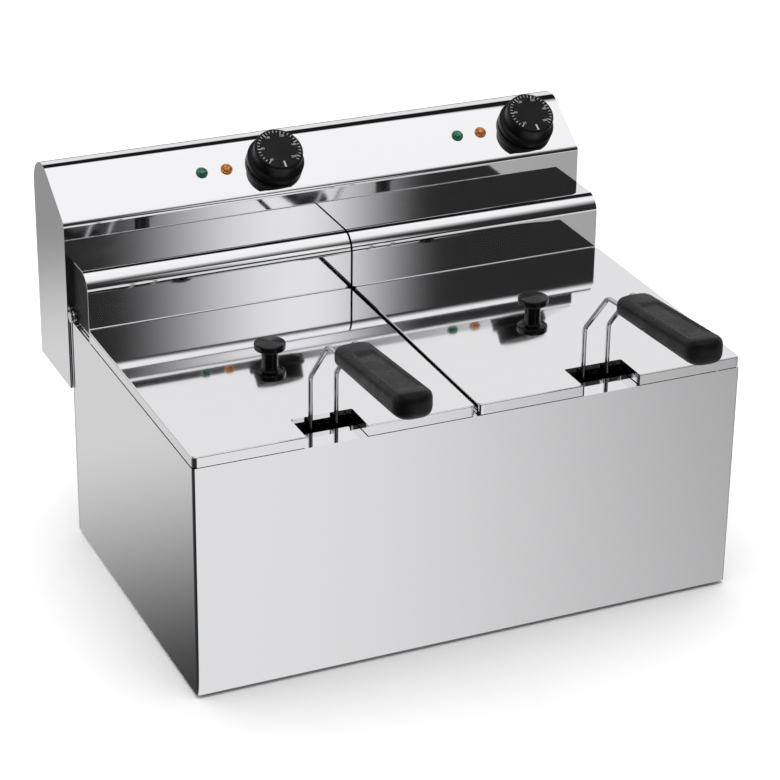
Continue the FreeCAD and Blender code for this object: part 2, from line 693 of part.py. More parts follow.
def make_service_cover():
    """Plate over the service opening in the column's back, with rows of cooling slots."""
    owner = new_body("service_cover", (0, "column_rear + sheet_gauge", 0))
    plan = new_sketch(owner, "service_cover_plan", "XZ")
    outline(plan, rectangle("0 - service_half", "service_base", "service_half", "service_top",
                            "service_corner"))
    for x, z in cover_screw_spots():
        circle(plan, x, z, "screw_radius")
    pad(owner, plan, "sheet_gauge")
    slot = new_sketch(owner, "service_slot_plan", "XZ")
    foot = "deck_top + service_slot_lift"
    outline(slot, rectangle("0 - slot_half", foot, "service_slot_width - slot_half",
                            f"{foot} + service_slot_height", "0.48*service_slot_width"))
    slot_row(owner, slot, "2*slot_half - service_slot_width", SERVICE_SLOTS)
    return owner


def make_service_screws():
    """Pan-head screws that hold the service cover."""
    return group("service_cover_screws",
                 [pan_screw(f"service_screw_{i}", (x, "column_rear + sheet_gauge", z),
                            "screw_head", "screw_radius", "screw_length", ALONG_Y)
                  for i, (x, z) in enumerate(cover_screw_spots())])


def make_gland():
    """Empty cable gland: a tapered collar under the column's floor and a nut above it."""
    x, y = "gland_middle", "column_middle"
    hexes = []
    for name, z, thick in (("gland_flats_hex", "column_base - gland_flats", "gland_flats"),
                           ("gland_nut_hex", "floor_top", "gland_nut")):
        flats = doc.addObject("Part::Prism", name)
        flats.Polygon = 6
        bind(flats, "Circumradius", "gland_radius + gland_rim")
        bind(flats, "Height", thick)
        hexes.append(place(flats, (x, y, z)))
    tip = "column_base - gland_flats - gland_collar"
    collar = cone("gland_collar_taper", (x, y, tip), "gland_radius - gland_taper", "gland_radius",
                  "gland_collar")
    top = "floor_top + gland_nut + gland_rim/2"
    barrel = rod("gland_barrel", (x, y, "column_base - gland_flats"), "gland_radius - gland_thread",
                 f"{top} - column_base + gland_flats")
    bore = rod("gland_through", (x, y, tip), "gland_bore", f"{top} - ({tip})")
    return without("cable_gland", joined("gland_solid", hexes + [collar, barrel]), bore)


# head: covers, terminal boxes and elements

def make_cover(side, start):
    """Bent cover between the column and a lid."""
    return extruded(f"cover_{side}", "YZ",
                    [("cover_front", "cover_base"), ("cover_front", "cover_top", "cover_bend"),
                     ("column_front", "cover_top"), ("column_front", "cover_top - sheet_gauge"),
                     ("cover_front + sheet_gauge", "cover_top - sheet_gauge",
                      "cover_bend - sheet_gauge"),
                     ("cover_front + sheet_gauge", "cover_base")],
                    "cover_length", (start, 0, 0))


def make_terminal_box(side, start):
    """Dark insulating box under a cover, open below, where the element's ends are wired."""
    name = f"terminal_box_{side}"
    owner = new_body(name, (f"{start} + box_inset", 0, 0))
    front, top = "cover_front + sheet_gauge", "cover_top - sheet_gauge"
    outer = new_sketch(owner, name + "_outer", "YZ")
    outline(outer, [(front, "plate_top"), (front, top, "cover_bend - sheet_gauge"),
                    ("column_front", top), ("column_front", "plate_top")])
    pad(owner, outer, "box_length")
    inner = new_sketch(owner, name + "_inner", "YZ", "box_wall")
    outline(inner, [(f"{front} + box_wall", "plate_top"),
                    (f"{front} + box_wall", f"{top} - box_wall", "cover_bend - sheet_gauge - box_wall"),
                    ("column_front", f"{top} - box_wall"), ("column_front", "plate_top")])
    pocket(owner, inner, "box_length - 2*box_wall")
    return owner


def leg_spots(sign):
    """The four legs of one element, as x formulas."""
    middle = offset(sign, "bowl_pitch/2")
    return [f"{middle} {way} {reach}" for reach in ("element_outer", "element_inner")
            for way in ("-", "+")]


def make_element_plate(side, sign, start):
    """Steel plate that closes the terminal box from below and holds the element's legs."""
    base = block(f"element_plate_sheet_{side}",
                 (f"{start} + box_inset", "cover_front + sheet_gauge", "plate_base"),
                 ("box_length", "cover_reach - sheet_gauge", "plate_gauge"))
    holes = [drill(f"leg_hole_{side}_{i}", (x, "leg_line", "plate_base"), "tube_radius")
             for i, x in enumerate(leg_spots(sign))]
    bulb = drill(f"bulb_hole_{side}", (offset(sign, "bowl_pitch/2"), "leg_line", "plate_base"),
                 "capillary_radius")
    return without(f"element_plate_{side}", base, bulb, *holes)


def make_hairpin(name, middle, reach):
    """One heating tube: down a leg, forward over the bowl's floor, round and back up."""
    front, tube = "element_front_line + element_outer", "tube_radius"
    pieces = []
    for way, word in (("-", "a"), ("+", "b")):
        x = f"{middle} {way} {reach}"
        pieces.append(rod(f"{name}_leg_{word}", (x, "leg_line", "element_level + element_bend"), tube,
                          "plate_top + leg_stub - element_level - element_bend"))
        pieces.append(ring_piece(f"{name}_knee_{word}",
                                 (x, "leg_line - element_bend", "element_level + element_bend"),
                                 "element_bend", tube, 90, KNEE_TURN))
        pieces.append(rod(f"{name}_run_{word}", (x, front, "element_level"), tube,
                          f"leg_line - element_bend - ({front})", ALONG_Y))
    turn_piece = ring_piece(f"{name}_turn", (middle, front, "element_level"), reach, tube, 180,
                            Rotation(UP, 180))
    return joined(name, pieces + [turn_piece])


def make_element(side, sign):
    """Two nested heating tubes of one bowl."""
    middle = offset(sign, "bowl_pitch/2")
    return group(f"element_{side}", [make_hairpin(f"hairpin_{side}_{reach}", middle,
                                                  f"element_{reach}")
                                     for reach in ("outer", "inner")])


def make_rack(side, sign):
    """Flat bars over the tubes, which the basket stands on."""
    pieces = [block(f"rack_{side}_rail_{i}", (f"{x} - rack_bar/2", "rack_front", "rack_base"),
                    ("rack_bar", "rack_length", "rack_gauge"))
              for i, x in enumerate(leg_spots(sign))]
    for i in range(RACK_BARS):
        step = f"(rack_length - 2*rack_end_gap - rack_bar)*{i}/{RACK_BARS - 1}"
        pieces.append(block(f"rack_{side}_bar_{i}",
                            (f"{offset(sign, 'bowl_pitch/2')} - element_outer",
                             f"rack_front + rack_end_gap + {step}", "rack_base"),
                            ("2*element_outer", "rack_bar", "rack_gauge")))
    return joined(f"rack_{side}", pieces)


def make_bulbs():
    """Thermostat sensing bulbs on their capillaries, between the legs."""
    bulbs = []
    for side, sign in SIDES.items():
        x = offset(sign, "bowl_pitch/2")
        top = "rack_top + bulb_lift + bulb_length"
        bulb = rod(f"bulb_{side}", (x, "leg_line", "rack_top + bulb_lift"), "bulb_radius",
                   "bulb_length")
        line = rod(f"capillary_{side}", (x, "leg_line", top), "capillary_radius",
                   f"plate_top + capillary_stub - ({top})")
        bulbs.append(joined(f"sensor_{side}", [bulb, line]))
    return group("sensing_bulbs", bulbs)


def make_saddle():
    """Flat bearer under the covers, which rests on the deck's rear strip."""
    return block("saddle", ("box_inset - cover_half", "saddle_front", "saddle_base"),
                 ("2*cover_half - 2*box_inset", "column_front - (saddle_front)", "sheet_gauge"))


def make_studs():
    """Ringed studs at the head's two ends, which stand on the deck's rear corners."""
    studs = []
    for side, sign in SIDES.items():
        turn = Rotation(BACK, 90 if side == "right" else -90)
        core, ring, end = "stud_core", "stud_radius", "2*stud_groove + 2*stud_ring"
        studs.append(turned(f"stud_{side}",
                            [(0, 0), (core, 0), (core, "stud_groove"),
                             (ring, "stud_groove", 0.5), (ring, "stud_groove + stud_ring", 0.5),
                             (core, "stud_groove + stud_ring"),
                             (core, "2*stud_groove + stud_ring"),
                             (ring, "2*stud_groove + stud_ring", 0.5), (ring, end, 0.5), (0, end)],
                            (offset(sign, "cover_half - box_inset"), "column_front - stud_setback",
                             "saddle_base + stud_radius"), turn))
    return group("support_studs", studs)


# head: controls inside the column

def make_thermostats():
    """Dial thermostats behind the panel, each with a threaded bush through it."""
    bodies = []
    for side, spots in panel_spots().items():
        case = doc.addObject("Part::Box", f"thermostat_case_{side}")
        for setting, words in (("Length", "thermostat_width"), ("Width", "thermostat_length"),
                               ("Height", "thermostat_depth")):
            bind(case, setting, words)
        on_panel(case, f"{spots['dial']} - thermostat_width/2", "dial_along - thermostat_length/2",
                 "0 - thermostat_depth - sheet_gauge")
        bush = panel_rod(f"thermostat_bush_{side}", spots["dial"], "bush_radius",
                         "bush_height + 2*sheet_gauge", "0 - 2*sheet_gauge")
        bore = panel_rod(f"thermostat_bore_{side}", spots["dial"], "shaft_radius + shaft_clearance",
                         "shaft_length", "0 - shaft_sink - 1")
        bodies.append(without(f"thermostat_{side}", joined(f"thermostat_solid_{side}", [case, bush]),
                              bore))
    return group("thermostats", bodies)


def make_lamps():
    """Pilot lamps: clear coloured lenses on the panel and their lamp bodies behind it."""
    lenses = {"green": [], "orange": []}
    bodies = []
    for side, spots in panel_spots().items():
        for colour, found in lenses.items():
            lens = turned(f"{colour}_lens_{side}",
                          [(0, 0), ("lamp_radius", 0), ("lamp_radius", "lens_rim", 0.5),
                           ("lamp_radius - lens_step", "lens_rim"),
                           ("lamp_radius - lens_step", "lens_height", 2.6), (0, "lens_height")])
            found.append(on_panel(lens, spots[colour], "dial_along"))
            bodies.append(panel_rod(f"{colour}_barrel_{side}", spots[colour],
                                    "lamp_hole - hole_clearance", "lamp_body_length",
                                    "0 - lamp_body_length"))
    return [group("green_lamps", lenses["green"]), group("orange_lamps", lenses["orange"]),
            group("lamp_bodies", bodies)]


def make_dial(side):
    """Thermostat dial: a wide skirt under a narrower cap, on its shaft."""
    spot = panel_spots()[side]["dial"]
    dial = turned(f"dial_{side}",
                  [(0, "dial_height", ), ("dial_cap_radius", "dial_height", 2.2),
                   ("dial_cap_radius + 0.8", "dial_skirt + 2", 1.2),
                   ("dial_radius", "dial_skirt", 1.4), ("dial_radius", "dial_lift", 0.6),
                   ("dial_radius - dial_wall", "dial_lift"),
                   ("dial_radius - dial_wall", "dial_skirt + 1.5"),
                   ("shaft_radius", "dial_skirt + 1.5"), ("shaft_radius", "dial_socket"),
                   (0, "dial_socket")])
    on_panel(dial, spot, "dial_along")
    return [dial, panel_rod(f"dial_shaft_{side}", spot, "shaft_radius", "shaft_length",
                            "0 - shaft_sink")]


def make_cutouts():
    """Safety cut-outs that stand on the column's floor over their reset buttons."""
    bodies, bushes = [], []
    for side, (x, y) in cutout_spots().items():
        can = rod(f"cutout_can_{side}", (x, y, "floor_top"), "cutout_radius", "cutout_height")
        bore = rod(f"cutout_bore_{side}", (x, y, "floor_top"), "button_radius + button_clearance",
                   "cutout_bore")
        bodies.append(without(f"cutout_{side}", can, bore))
        collar = rod(f"reset_collar_{side}", (x, y, "column_base - reset_bush_height"),
                     "reset_bush_radius", "reset_bush_height")
        hole = drill(f"reset_bore_{side}", (x, y, "column_base"), "button_radius + button_clearance")
        bushes.append(without(f"reset_bush_{side}", collar, hole))
    return [group("safety_cutouts", bodies), group("reset_bushes", bushes)]


def make_reset_button(side):
    """Push button that resets a tripped cut-out, pressed upwards."""
    x, y = cutout_spots()[side]
    return turned(f"reset_button_{side}",
                  [(0, "column_base - button_reach"),
                   ("button_radius", "column_base - button_reach", 1),
                   ("button_radius", "floor_top + button_root"), (0, "floor_top + button_root")],
                  (x, y, 0))


def make_switchgear():
    """Terminal block and two contactors on the column's floor."""
    start = "gland_middle - strip_setback"
    strip = block("terminal_strip", (start, "column_middle - strip_width/2", "floor_top"),
                  ("strip_length", "strip_width", "strip_height"))
    ways = [block(f"terminal_way_{i}",
                  (f"{start} + way_inset + {i}*way_pitch", "column_middle - way_length/2",
                   "floor_top + strip_height"), ("way_width", "way_length", "way_height"))
            for i in range(TERMINAL_WAYS)]
    relays = []
    for word, x in (("a", "0 - relay_gap - relay_width"), ("b", "relay_gap")):
        pieces = []
        height = "floor_top"
        for step, wide, long, tall in (("foot", "relay_width", "relay_length", "relay_height"),
                                       ("crown", "relay_width", "crown_length", "crown_height"),
                                       ("plunger", "plunger_size", "plunger_size",
                                        "plunger_height")):
            pieces.append(block(f"relay_{step}_{word}",
                                (f"{x} + (relay_width - {wide})/2", f"column_middle - {long}/2",
                                 height), (wide, long, tall)))
            height += f" + {tall}"
        relays.append(joined(f"relay_{word}", pieces))
    return [joined("terminal_block", [strip] + ways), group("contactors", relays)]


# lids

def make_lid(side, sign):
    """Shallow lid with a lip turned down all round, and round its notch for the basket handle."""
    name = f"lid_{side}"
    middle = offset(sign, "bowl_pitch/2")
    owner = new_body(name, (middle, "0 - half_depth", "lid_base"))
    near = "bowl_pitch/2 - lid_gap/2"
    far = "lid_width - bowl_pitch/2 + lid_gap/2"
    low, high = (far, near) if side == "left" else (near, far)
    outer = new_sketch(owner, name + "_outer", "XY")
    outline(outer, rectangle(f"0 - ({low})", 0, high, "lid_length", "lid_corner"))
    rounded(owner, pad(owner, outer, "lid_height"), "lid_edge_bend",
            level(number("lid_height")))
    inner = new_sketch(owner, name + "_inner", "XY")
    lip_side, lip_back = "notch_width/2 + sheet_gauge", "notch_depth + sheet_gauge"
    corners = rectangle(f"sheet_gauge - ({low})", "sheet_gauge", f"{high} - sheet_gauge",
                        "lid_length - sheet_gauge", "lid_corner - sheet_gauge")
    outline(inner, corners[:1] + [(f"0 - ({lip_side})", "sheet_gauge"),
                                  (f"0 - ({lip_side})", lip_back, "notch_corner + sheet_gauge"),
                                  (lip_side, lip_back, "notch_corner + sheet_gauge"),
                                  (lip_side, "sheet_gauge")] + corners[1:])
    pocket(owner, inner, "lid_height - sheet_gauge")
    notch = new_sketch(owner, name + "_notch", "XY")
    outline(notch, [("0 - notch_width/2", "0 - drill_reach"), ("notch_width/2", "0 - drill_reach"),
                    ("notch_width/2", "notch_depth", "notch_corner"),
                    ("0 - notch_width/2", "notch_depth", "notch_corner")])
    pocket(owner, notch, "lid_height + drill_reach")
    hole = new_sketch(owner, name + "_screw_hole", "XY")
    circle(hole, 0, "knob_back", "knob_screw_radius + hole_clearance")
    pocket(owner, hole, "lid_height + drill_reach")
    return owner


def make_lid_knob(side, sign):
    """Mushroom knob on the lid and the screw that holds it from below."""
    spot = (offset(sign, "bowl_pitch/2"), "knob_back - half_depth", "lid_top")
    tall, wide = "knob_height", "knob_radius"
    knob = turned(f"lid_knob_{side}",
                  [("knob_screw_radius", 0), ("knob_stem", 0),
                   ("knob_stem", f"{tall} - knob_cap - knob_crown", "knob_fillet"),
                   (wide, f"{tall} - knob_cap", "knob_edge"),
                   (wide, f"{tall} - knob_crown", "knob_edge"), (0, tall), (0, "knob_screw_length"),
                   ("knob_screw_radius", "knob_screw_length")], spot)
    screw = pan_screw(f"lid_screw_{side}", (spot[0], spot[1], "lid_top - sheet_gauge"),
                      "knob_screw_head", "knob_screw_radius", "knob_screw_length", UPSIDE_DOWN)
    return [knob, screw]


# baskets

def make_basket_mesh(side, sign):
    """Woven wire tub, as the thin wall that its wires lie in."""
    name = f"basket_mesh_{side}"
    owner = new_body(name, (offset(sign, "bowl_pitch/2"), "basket_start", "basket_base"))
    tub(owner, rectangle("0 - basket_width/2", 0, "basket_width/2", "basket_length", "basket_corner"),
        rectangle("mesh_gauge - basket_width/2", "mesh_gauge", "basket_width/2 - mesh_gauge",
                  "basket_length - mesh_gauge", "basket_corner - mesh_gauge"),
        "basket_top - basket_base", "mesh_gauge", "basket_bend")
    return owner


def make_basket_frame(side, sign):
    """Two wire rings round the tub and the four posts between them."""
    name = f"basket_frame_{side}"
    middle = offset(sign, "bowl_pitch/2")
    rings = []
    waist = "basket_base + waist_lift"
    for word, height in (("rim", "basket_top"), ("waist", waist)):
        owner = new_body(f"{name}_{word}", (middle, "basket_start", height))
        path = new_sketch(owner, f"{name}_{word}_path", "XY")
        out = "(wire_radius + seat_gap)"
        outline(path, rectangle(f"0 - basket_width/2 - {out}", f"0 - {out}",
                                f"basket_width/2 + {out}", f"basket_length + {out}",
                                f"basket_corner + {out}"))
        section = new_sketch(owner, f"{name}_{word}_section", "YZ")
        circle(section, f"0 - {out}", 0, "wire_radius")
        pipe = owner.newObject("PartDesign::AdditivePipe", f"{name}_{word}_wire")
        pipe.Profile = section
        pipe.Spine = path
        rings.append(owner)
    posts = []
    for i, (way, start) in enumerate((w, s) for w in ("-", "+") for s in (
            "basket_start + basket_corner + post_inset",
            "basket_start + basket_length - basket_corner - post_inset")):
        posts.append(rod(f"{name}_post_{i}",
                         (f"{middle} {way} (basket_width/2 + wire_radius + seat_gap)", start, waist),
                         "post_radius", f"basket_top - ({waist})"))
    return joined(name, rings + posts)


def make_handle_rod(name, across):
    """A bent rod: up from the tub, forward over the box's front edge and into the grip."""
    owner = new_body(name, (across, 0, 0))
    path = new_sketch(owner, name + "_path", "YZ")
    grip_axis = "grip_level + (grip_rear - ({0}))*tan(grip_rise)"
    bend_start = ("rod_line", "riser_top", "rod_bend")
    # the slanted run meets the grip's axis where both lines pass through one point
    knee_y = ("(rod_line*tan(rod_slant) + riser_top - grip_level - grip_rear*tan(grip_rise))"
              "/(tan(rod_slant) - tan(grip_rise))")
    knee_z = grip_axis.format(knee_y)
    end_y = "grip_rear - rod_in_grip"
    outline(path, [("rod_line", "basket_base + rod_foot"), bend_start, (knee_y, knee_z, "rod_bend"),
                   (end_y, grip_axis.format(end_y))], closed=False)
    section = new_sketch(owner, name + "_section", "XY", "basket_base + rod_foot")
    circle(section, 0, "rod_line", "rod_radius")
    pipe = owner.newObject("PartDesign::AdditivePipe", name + "_wire")
    pipe.Profile = section
    pipe.Spine = path
    return owner


def make_handle(side, sign):
    """Two rods and the moulded grip on their ends."""
    middle = offset(sign, "bowl_pitch/2")
    rods = [make_handle_rod(f"handle_rod_{side}_{word}", f"{middle} {way} rod_spread")
            for word, way in (("a", "-"), ("b", "+"))]
    pair = group(f"handle_rods_{side}", rods)
    name = f"grip_{side}"
    owner = new_body(name + "_moulding", (f"{middle} - grip_width/2", 0, 0))
    view = new_sketch(owner, name + "_view", "YZ")
    lift = "grip_length*tan(grip_rise)"
    outline(view, [("grip_rear", "grip_level - grip_rear_height/2", "grip_rear_round"),
                   ("grip_rear", "grip_level + grip_rear_height/2", "grip_rear_round"),
                   ("grip_tip", f"grip_level + {lift} + grip_front_height/2", "grip_front_round"),
                   ("grip_tip", f"grip_level + {lift} - grip_front_height/2", "grip_front_round")])
    block_feature = pad(owner, view, "grip_width")
    ends = {0.0, round(number("grip_width"), 4)}
    rounded(owner, block_feature, "grip_edge_round",
            lambda edge: edge.BoundBox.XLength < 1e-4 and round(edge.BoundBox.XMin, 4) in ends)
    grip = without(name, owner, *rods)
    return [pair, grip]


def build():
    """Make every sub-part and return them in the order of their names in the files."""
    nodes = [make_casing(), make_rear_wall(), make_base_plate(), make_deck(), make_rear_screws()]
    nodes += make_feet()
    nodes += [make_column_shell(), make_column_floor(), make_service_cover(), make_service_screws(),
              make_gland(), make_saddle(), make_studs(), make_bulbs(), make_thermostats()]
    nodes += make_column_ends() + make_lamps() + make_cutouts() + make_switchgear()
    starts = {"left": "0 - cover_half", "right": "cover_gap/2"}
    racks = []
    for side, sign in SIDES.items():
        nodes += [make_bowl(side, sign), make_cover(side, starts[side]),
                  make_terminal_box(side, starts[side]),
                  make_element_plate(side, sign, starts[side]), make_element(side, sign),
                  make_reset_button(side), make_lid(side, sign), make_basket_mesh(side, sign),
                  make_basket_frame(side, sign)]
        nodes += make_dial(side) + make_lid_knob(side, sign) + make_handle(side, sign)
        racks.append(make_rack(side, sign))
    return nodes + [group("basket_racks", racks)]


def check(nodes):
    """Stop if any object failed or any sub-part is empty or not valid."""
    for thing in doc.Objects:
        if "Invalid" in thing.State or "Error" in thing.State:
            raise RuntimeError(f"{thing.Name} did not compute: {thing.State}")
    for node in nodes:
        if node.Shape.isNull() or not node.Shape.isValid():
            raise RuntimeError(f"{node.Label} is not a valid shape")


nodes = build()
settle(nodes)
doc.recompute()
check(nodes)
os.makedirs("parts", exist_ok=True)
for node in nodes:
    node.Shape.exportStep(f"parts/{node.Label}.step")
    print(f"{node.Label}: {len(node.Shape.Solids)} solids, {node.Shape.Volume:.0f} mm3")
print(len(nodes), "nodes")
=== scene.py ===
"""Looks of a countertop twin-bowl fryer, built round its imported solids, in metres.

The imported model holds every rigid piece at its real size. This file gives those pieces their finishes
and adds what the solids leave plain: moulded grips with a thumb dish, woven wire baskets, and the
printed marks on the dials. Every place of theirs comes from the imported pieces.
"""
import json
import math

import bpy
import numpy as np
from mathutils import Matrix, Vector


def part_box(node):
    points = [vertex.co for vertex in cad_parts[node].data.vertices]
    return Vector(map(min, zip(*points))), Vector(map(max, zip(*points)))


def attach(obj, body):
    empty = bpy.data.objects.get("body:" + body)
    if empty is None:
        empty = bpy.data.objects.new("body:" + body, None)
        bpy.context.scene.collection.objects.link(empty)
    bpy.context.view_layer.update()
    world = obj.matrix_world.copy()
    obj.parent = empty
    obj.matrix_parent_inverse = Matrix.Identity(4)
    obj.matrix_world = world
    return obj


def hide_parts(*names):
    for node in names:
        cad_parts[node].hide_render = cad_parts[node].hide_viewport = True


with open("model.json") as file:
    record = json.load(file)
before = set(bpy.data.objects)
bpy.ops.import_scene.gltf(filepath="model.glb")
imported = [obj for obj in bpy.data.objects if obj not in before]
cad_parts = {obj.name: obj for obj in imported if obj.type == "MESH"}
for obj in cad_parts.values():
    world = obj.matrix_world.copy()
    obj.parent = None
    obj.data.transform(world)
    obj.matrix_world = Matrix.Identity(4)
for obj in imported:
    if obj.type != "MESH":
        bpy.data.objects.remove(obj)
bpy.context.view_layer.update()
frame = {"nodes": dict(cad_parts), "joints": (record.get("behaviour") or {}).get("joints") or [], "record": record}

bl_info = {
    "name": "Twin fryer looks",
    "version": (1, 0, 0),
    "blender": (4, 5, 0),
    "location": "View3D > Sidebar > Fryer",
    "description": "Finishes and soft detail for a twin-bowl countertop fryer",
    "category": "Object",
}

SIDES = ("left", "right")


# places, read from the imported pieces

def span(node):
    """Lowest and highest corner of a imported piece, as arrays."""
    low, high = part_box(node)
    return np.array(low), np.array(high)


def points_of(node):
    """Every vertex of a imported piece, one row each."""
    mesh = frame["nodes"][node].data
    points = np.empty(len(mesh.vertices) * 3)
    mesh.vertices.foreach_get("co", points)
    return points.reshape(-1, 3)


def box_middle():
    """Middle of the casing's footprint, on the worktop."""
    low, high = span("casing")
    return np.array([(low[0] + high[0]) / 2, (low[1] + high[1]) / 2, 0.0])


def dial_axes(side):
    """A dial's centre on the panel, then its rightward, uphill and outward directions."""
    joint = next(j for j in frame["joints"] if j["name"] == f"dial_turn_{side}")
    outward = -np.array(joint["axis"], float)
    outward /= np.linalg.norm(outward)
    outward *= 1 if outward[2] > 0 else -1
    right = np.array([1.0, 0.0, 0.0])
    return np.array(joint["pos_m"], float), right, np.cross(outward, right), outward


# meshes from arrays

def grid_faces(rows, columns, wrap_rows=False, wrap_columns=False):
    """Quads between the points of a grid, joined round where an edge wraps."""
    i = np.arange(rows if wrap_rows else rows - 1)[:, None]
    j = np.arange(columns if wrap_columns else columns - 1)[None, :]
    after_i, after_j = (i + 1) % rows, (j + 1) % columns
    corners = [i * columns + j, i * columns + after_j, after_i * columns + after_j,
               after_i * columns + j]
    return np.stack([np.broadcast_to(c, (i.size, j.size)) for c in corners], -1).reshape(-1, 4)


def new_piece(name, points, faces, material, body=None, smooth=True):
    """Put points and faces into a mesh object, which rides on a body unless it is staged."""
    mesh = bpy.data.meshes.new(name)
    mesh.from_pydata(points.tolist(), [], faces.tolist() if isinstance(faces, np.ndarray) else faces)
    mesh.validate()
    mesh.polygons.foreach_set("use_smooth", [smooth] * len(mesh.polygons))
    mesh.materials.append(material)
    piece = bpy.data.objects.new(name, mesh)
    bpy.context.scene.collection.objects.link(piece)
    if body:
        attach(piece, body)
    return piece


def capped(rings):
    """Close a stack of equal rings whose first and last ring are single points at both ends."""
    count, sides = rings.shape[:2]
    inner = rings[1:-1].reshape(-1, 3)
    points = np.vstack([inner, rings[0, :1], rings[-1, :1]])
    faces = grid_faces(count - 2, sides, wrap_columns=True).tolist()
    first, last = len(inner), len(inner) + 1
    top = (count - 3) * sides
    faces += [[first, (j + 1) % sides, j] for j in range(sides)]
    faces += [[last, top + j, top + (j + 1) % sides] for j in range(sides)]
    return points, faces


def wire(path, radius, sides, closed=False):
    """A round wire along a path.

    At each point the circle lies square to the path: centre + radius*(cos a*side + sin a*lift), where
    side is the path's direction crossed with a fixed vector, and lift is both crossed again.
    """
    if closed:
        along = np.roll(path, -1, axis=0) - np.roll(path, 1, axis=0)
    else:
        along = np.gradient(path, axis=0)
    along /= np.linalg.norm(along, axis=1, keepdims=True)
    flat = np.argmin(np.abs(along).max(axis=0))
    side = np.cross(along, np.eye(3)[flat])
    side /= np.linalg.norm(side, axis=1, keepdims=True)
    lift = np.cross(along, side)
    turn = np.arange(sides) / sides * 2 * math.pi
    ring = np.cos(turn)[None, :, None] * side[:, None] + np.sin(turn)[None, :, None] * lift[:, None]
    points = (path[:, None] + radius * ring).reshape(-1, 3)
    faces = grid_faces(len(path), sides, wrap_rows=closed, wrap_columns=True)
    return points, faces


def merged(parts):
    """Join several point and face arrays into one pair."""
    points, faces, start = [], [], 0
    for some_points, some_faces in parts:
        points.append(some_points)
        faces.append(np.asarray(some_faces) + start)
        start += len(some_points)
    return np.vstack(points), np.vstack(faces)


# shader helpers

def add(tree, kind, **inputs):
    """A shader node with some of its inputs set or linked; names use _ for a space."""
    made = tree.nodes.new(kind)
    for name, value in inputs.items():
        socket = made.inputs[name.replace("_", " ")]
        if isinstance(value, bpy.types.NodeSocket):
            tree.links.new(value, socket)
        else:
            socket.default_value = value
    return made


def calc(tree, operation, first, second=None, third=None, clamp=False):
    """A Math node's output; each operand is a number or a socket."""
    made = tree.nodes.new("ShaderNodeMath")
    made.operation = operation
    made.use_clamp = clamp
    for socket, value in zip(made.inputs, (first, second, third)):
        if isinstance(value, bpy.types.NodeSocket):
            tree.links.new(value, socket)
        elif value is not None:
            socket.default_value = value
    return made.outputs[0]


def remap(tree, value, low, high, to_low=0.0, to_high=1.0):
    """Ease a value from one range into another, held at both ends."""
    made = add(tree, "ShaderNodeMapRange", Value=value, From_Min=low, From_Max=high, To_Min=to_low,
               To_Max=to_high)
    made.interpolation_type = "SMOOTHSTEP"
    return made.outputs["Result"]


def ramp(tree, value, stops):
    """A colour ramp's output, from (place, brightness) stops."""
    made = add(tree, "ShaderNodeValToRGB", Fac=value)
    steps = made.color_ramp.elements
    while len(steps) < len(stops):
        steps.new(0.5)
    for step, (spot, grey) in zip(steps, stops):
        step.position = spot
        step.color = (grey, grey, grey, 1)
    return made.outputs["Color"]


def new_group(name, inputs, outputs):
    """An empty shader node group with float or vector sockets, with its two end nodes."""
    tree = bpy.data.node_groups.new(name, "ShaderNodeTree")
    for word, default in inputs.items():
        kind = "NodeSocketVector" if default is None else "NodeSocketFloat"
        socket = tree.interface.new_socket(name=word, in_out="INPUT", socket_type=kind)
        if default is not None:
            socket.default_value = default
    for word in outputs:
        tree.interface.new_socket(name=word, in_out="OUTPUT", socket_type="NodeSocketFloat")
    return tree, tree.nodes.new("NodeGroupInput"), tree.nodes.new("NodeGroupOutput")


def sheet_group():
    """Rolled sheet: long fine scratches along X, slow waves of the sheet, and faint wiped smudges."""
    tree, given, result = new_group(
        "rolled_sheet", {"Vector": None, "Roughness": 0.08, "Scratch": 0.02, "Smudge": 0.03},
        ("Roughness", "Wave", "Scratches"))
    stretched = add(tree, "ShaderNodeMapping", Vector=given.outputs["Vector"],
                    Scale=(6.0, 900.0, 900.0))
    scratches = add(tree, "ShaderNodeTexNoise", Vector=stretched.outputs[0], Scale=1.0, Detail=2.0)
    wiped = add(tree, "ShaderNodeTexNoise", Vector=given.outputs["Vector"], Scale=9.0, Detail=5.0,
                Roughness=0.62, Distortion=0.6)
    waves = add(tree, "ShaderNodeTexNoise", Vector=given.outputs["Vector"], Scale=3.2, Detail=1.0)
    smudge = remap(tree, wiped.outputs["Fac"], 0.5, 0.75)
    rough = calc(tree, "MULTIPLY_ADD", smudge, given.outputs["Smudge"], given.outputs["Roughness"])
    fine = calc(tree, "SUBTRACT", scratches.outputs["Fac"], 0.5)
    rough = calc(tree, "MULTIPLY_ADD", fine, given.outputs["Scratch"], rough, clamp=True)
    tree.links.new(rough, result.inputs["Roughness"])
    tree.links.new(waves.outputs["Fac"], result.inputs["Wave"])
    tree.links.new(scratches.outputs["Fac"], result.inputs["Scratches"])


def grain_group():
    """Moulded plastic: fine spark-eroded grain, with slightly shinier rubbed patches."""
    tree, given, result = new_group(
        "moulded_grain", {"Vector": None, "Size": 900.0, "Roughness": 0.4, "Rub": 0.12},
        ("Roughness", "Height", "Tone"))
    cells = add(tree, "ShaderNodeTexNoise", Vector=given.outputs["Vector"],
                Scale=given.outputs["Size"], Detail=3.0, Roughness=0.7)
    patches = add(tree, "ShaderNodeTexNoise", Vector=given.outputs["Vector"], Scale=34.0, Detail=3.0)
    rubbed = remap(tree, patches.outputs["Fac"], 0.42, 0.68)
    rough = calc(tree, "MULTIPLY", rubbed, given.outputs["Rub"])
    rough = calc(tree, "SUBTRACT", given.outputs["Roughness"], rough, clamp=True)
    tree.links.new(rough, result.inputs["Roughness"])
    tree.links.new(cells.outputs["Fac"], result.inputs["Height"])
    tree.links.new(rubbed, result.inputs["Tone"])


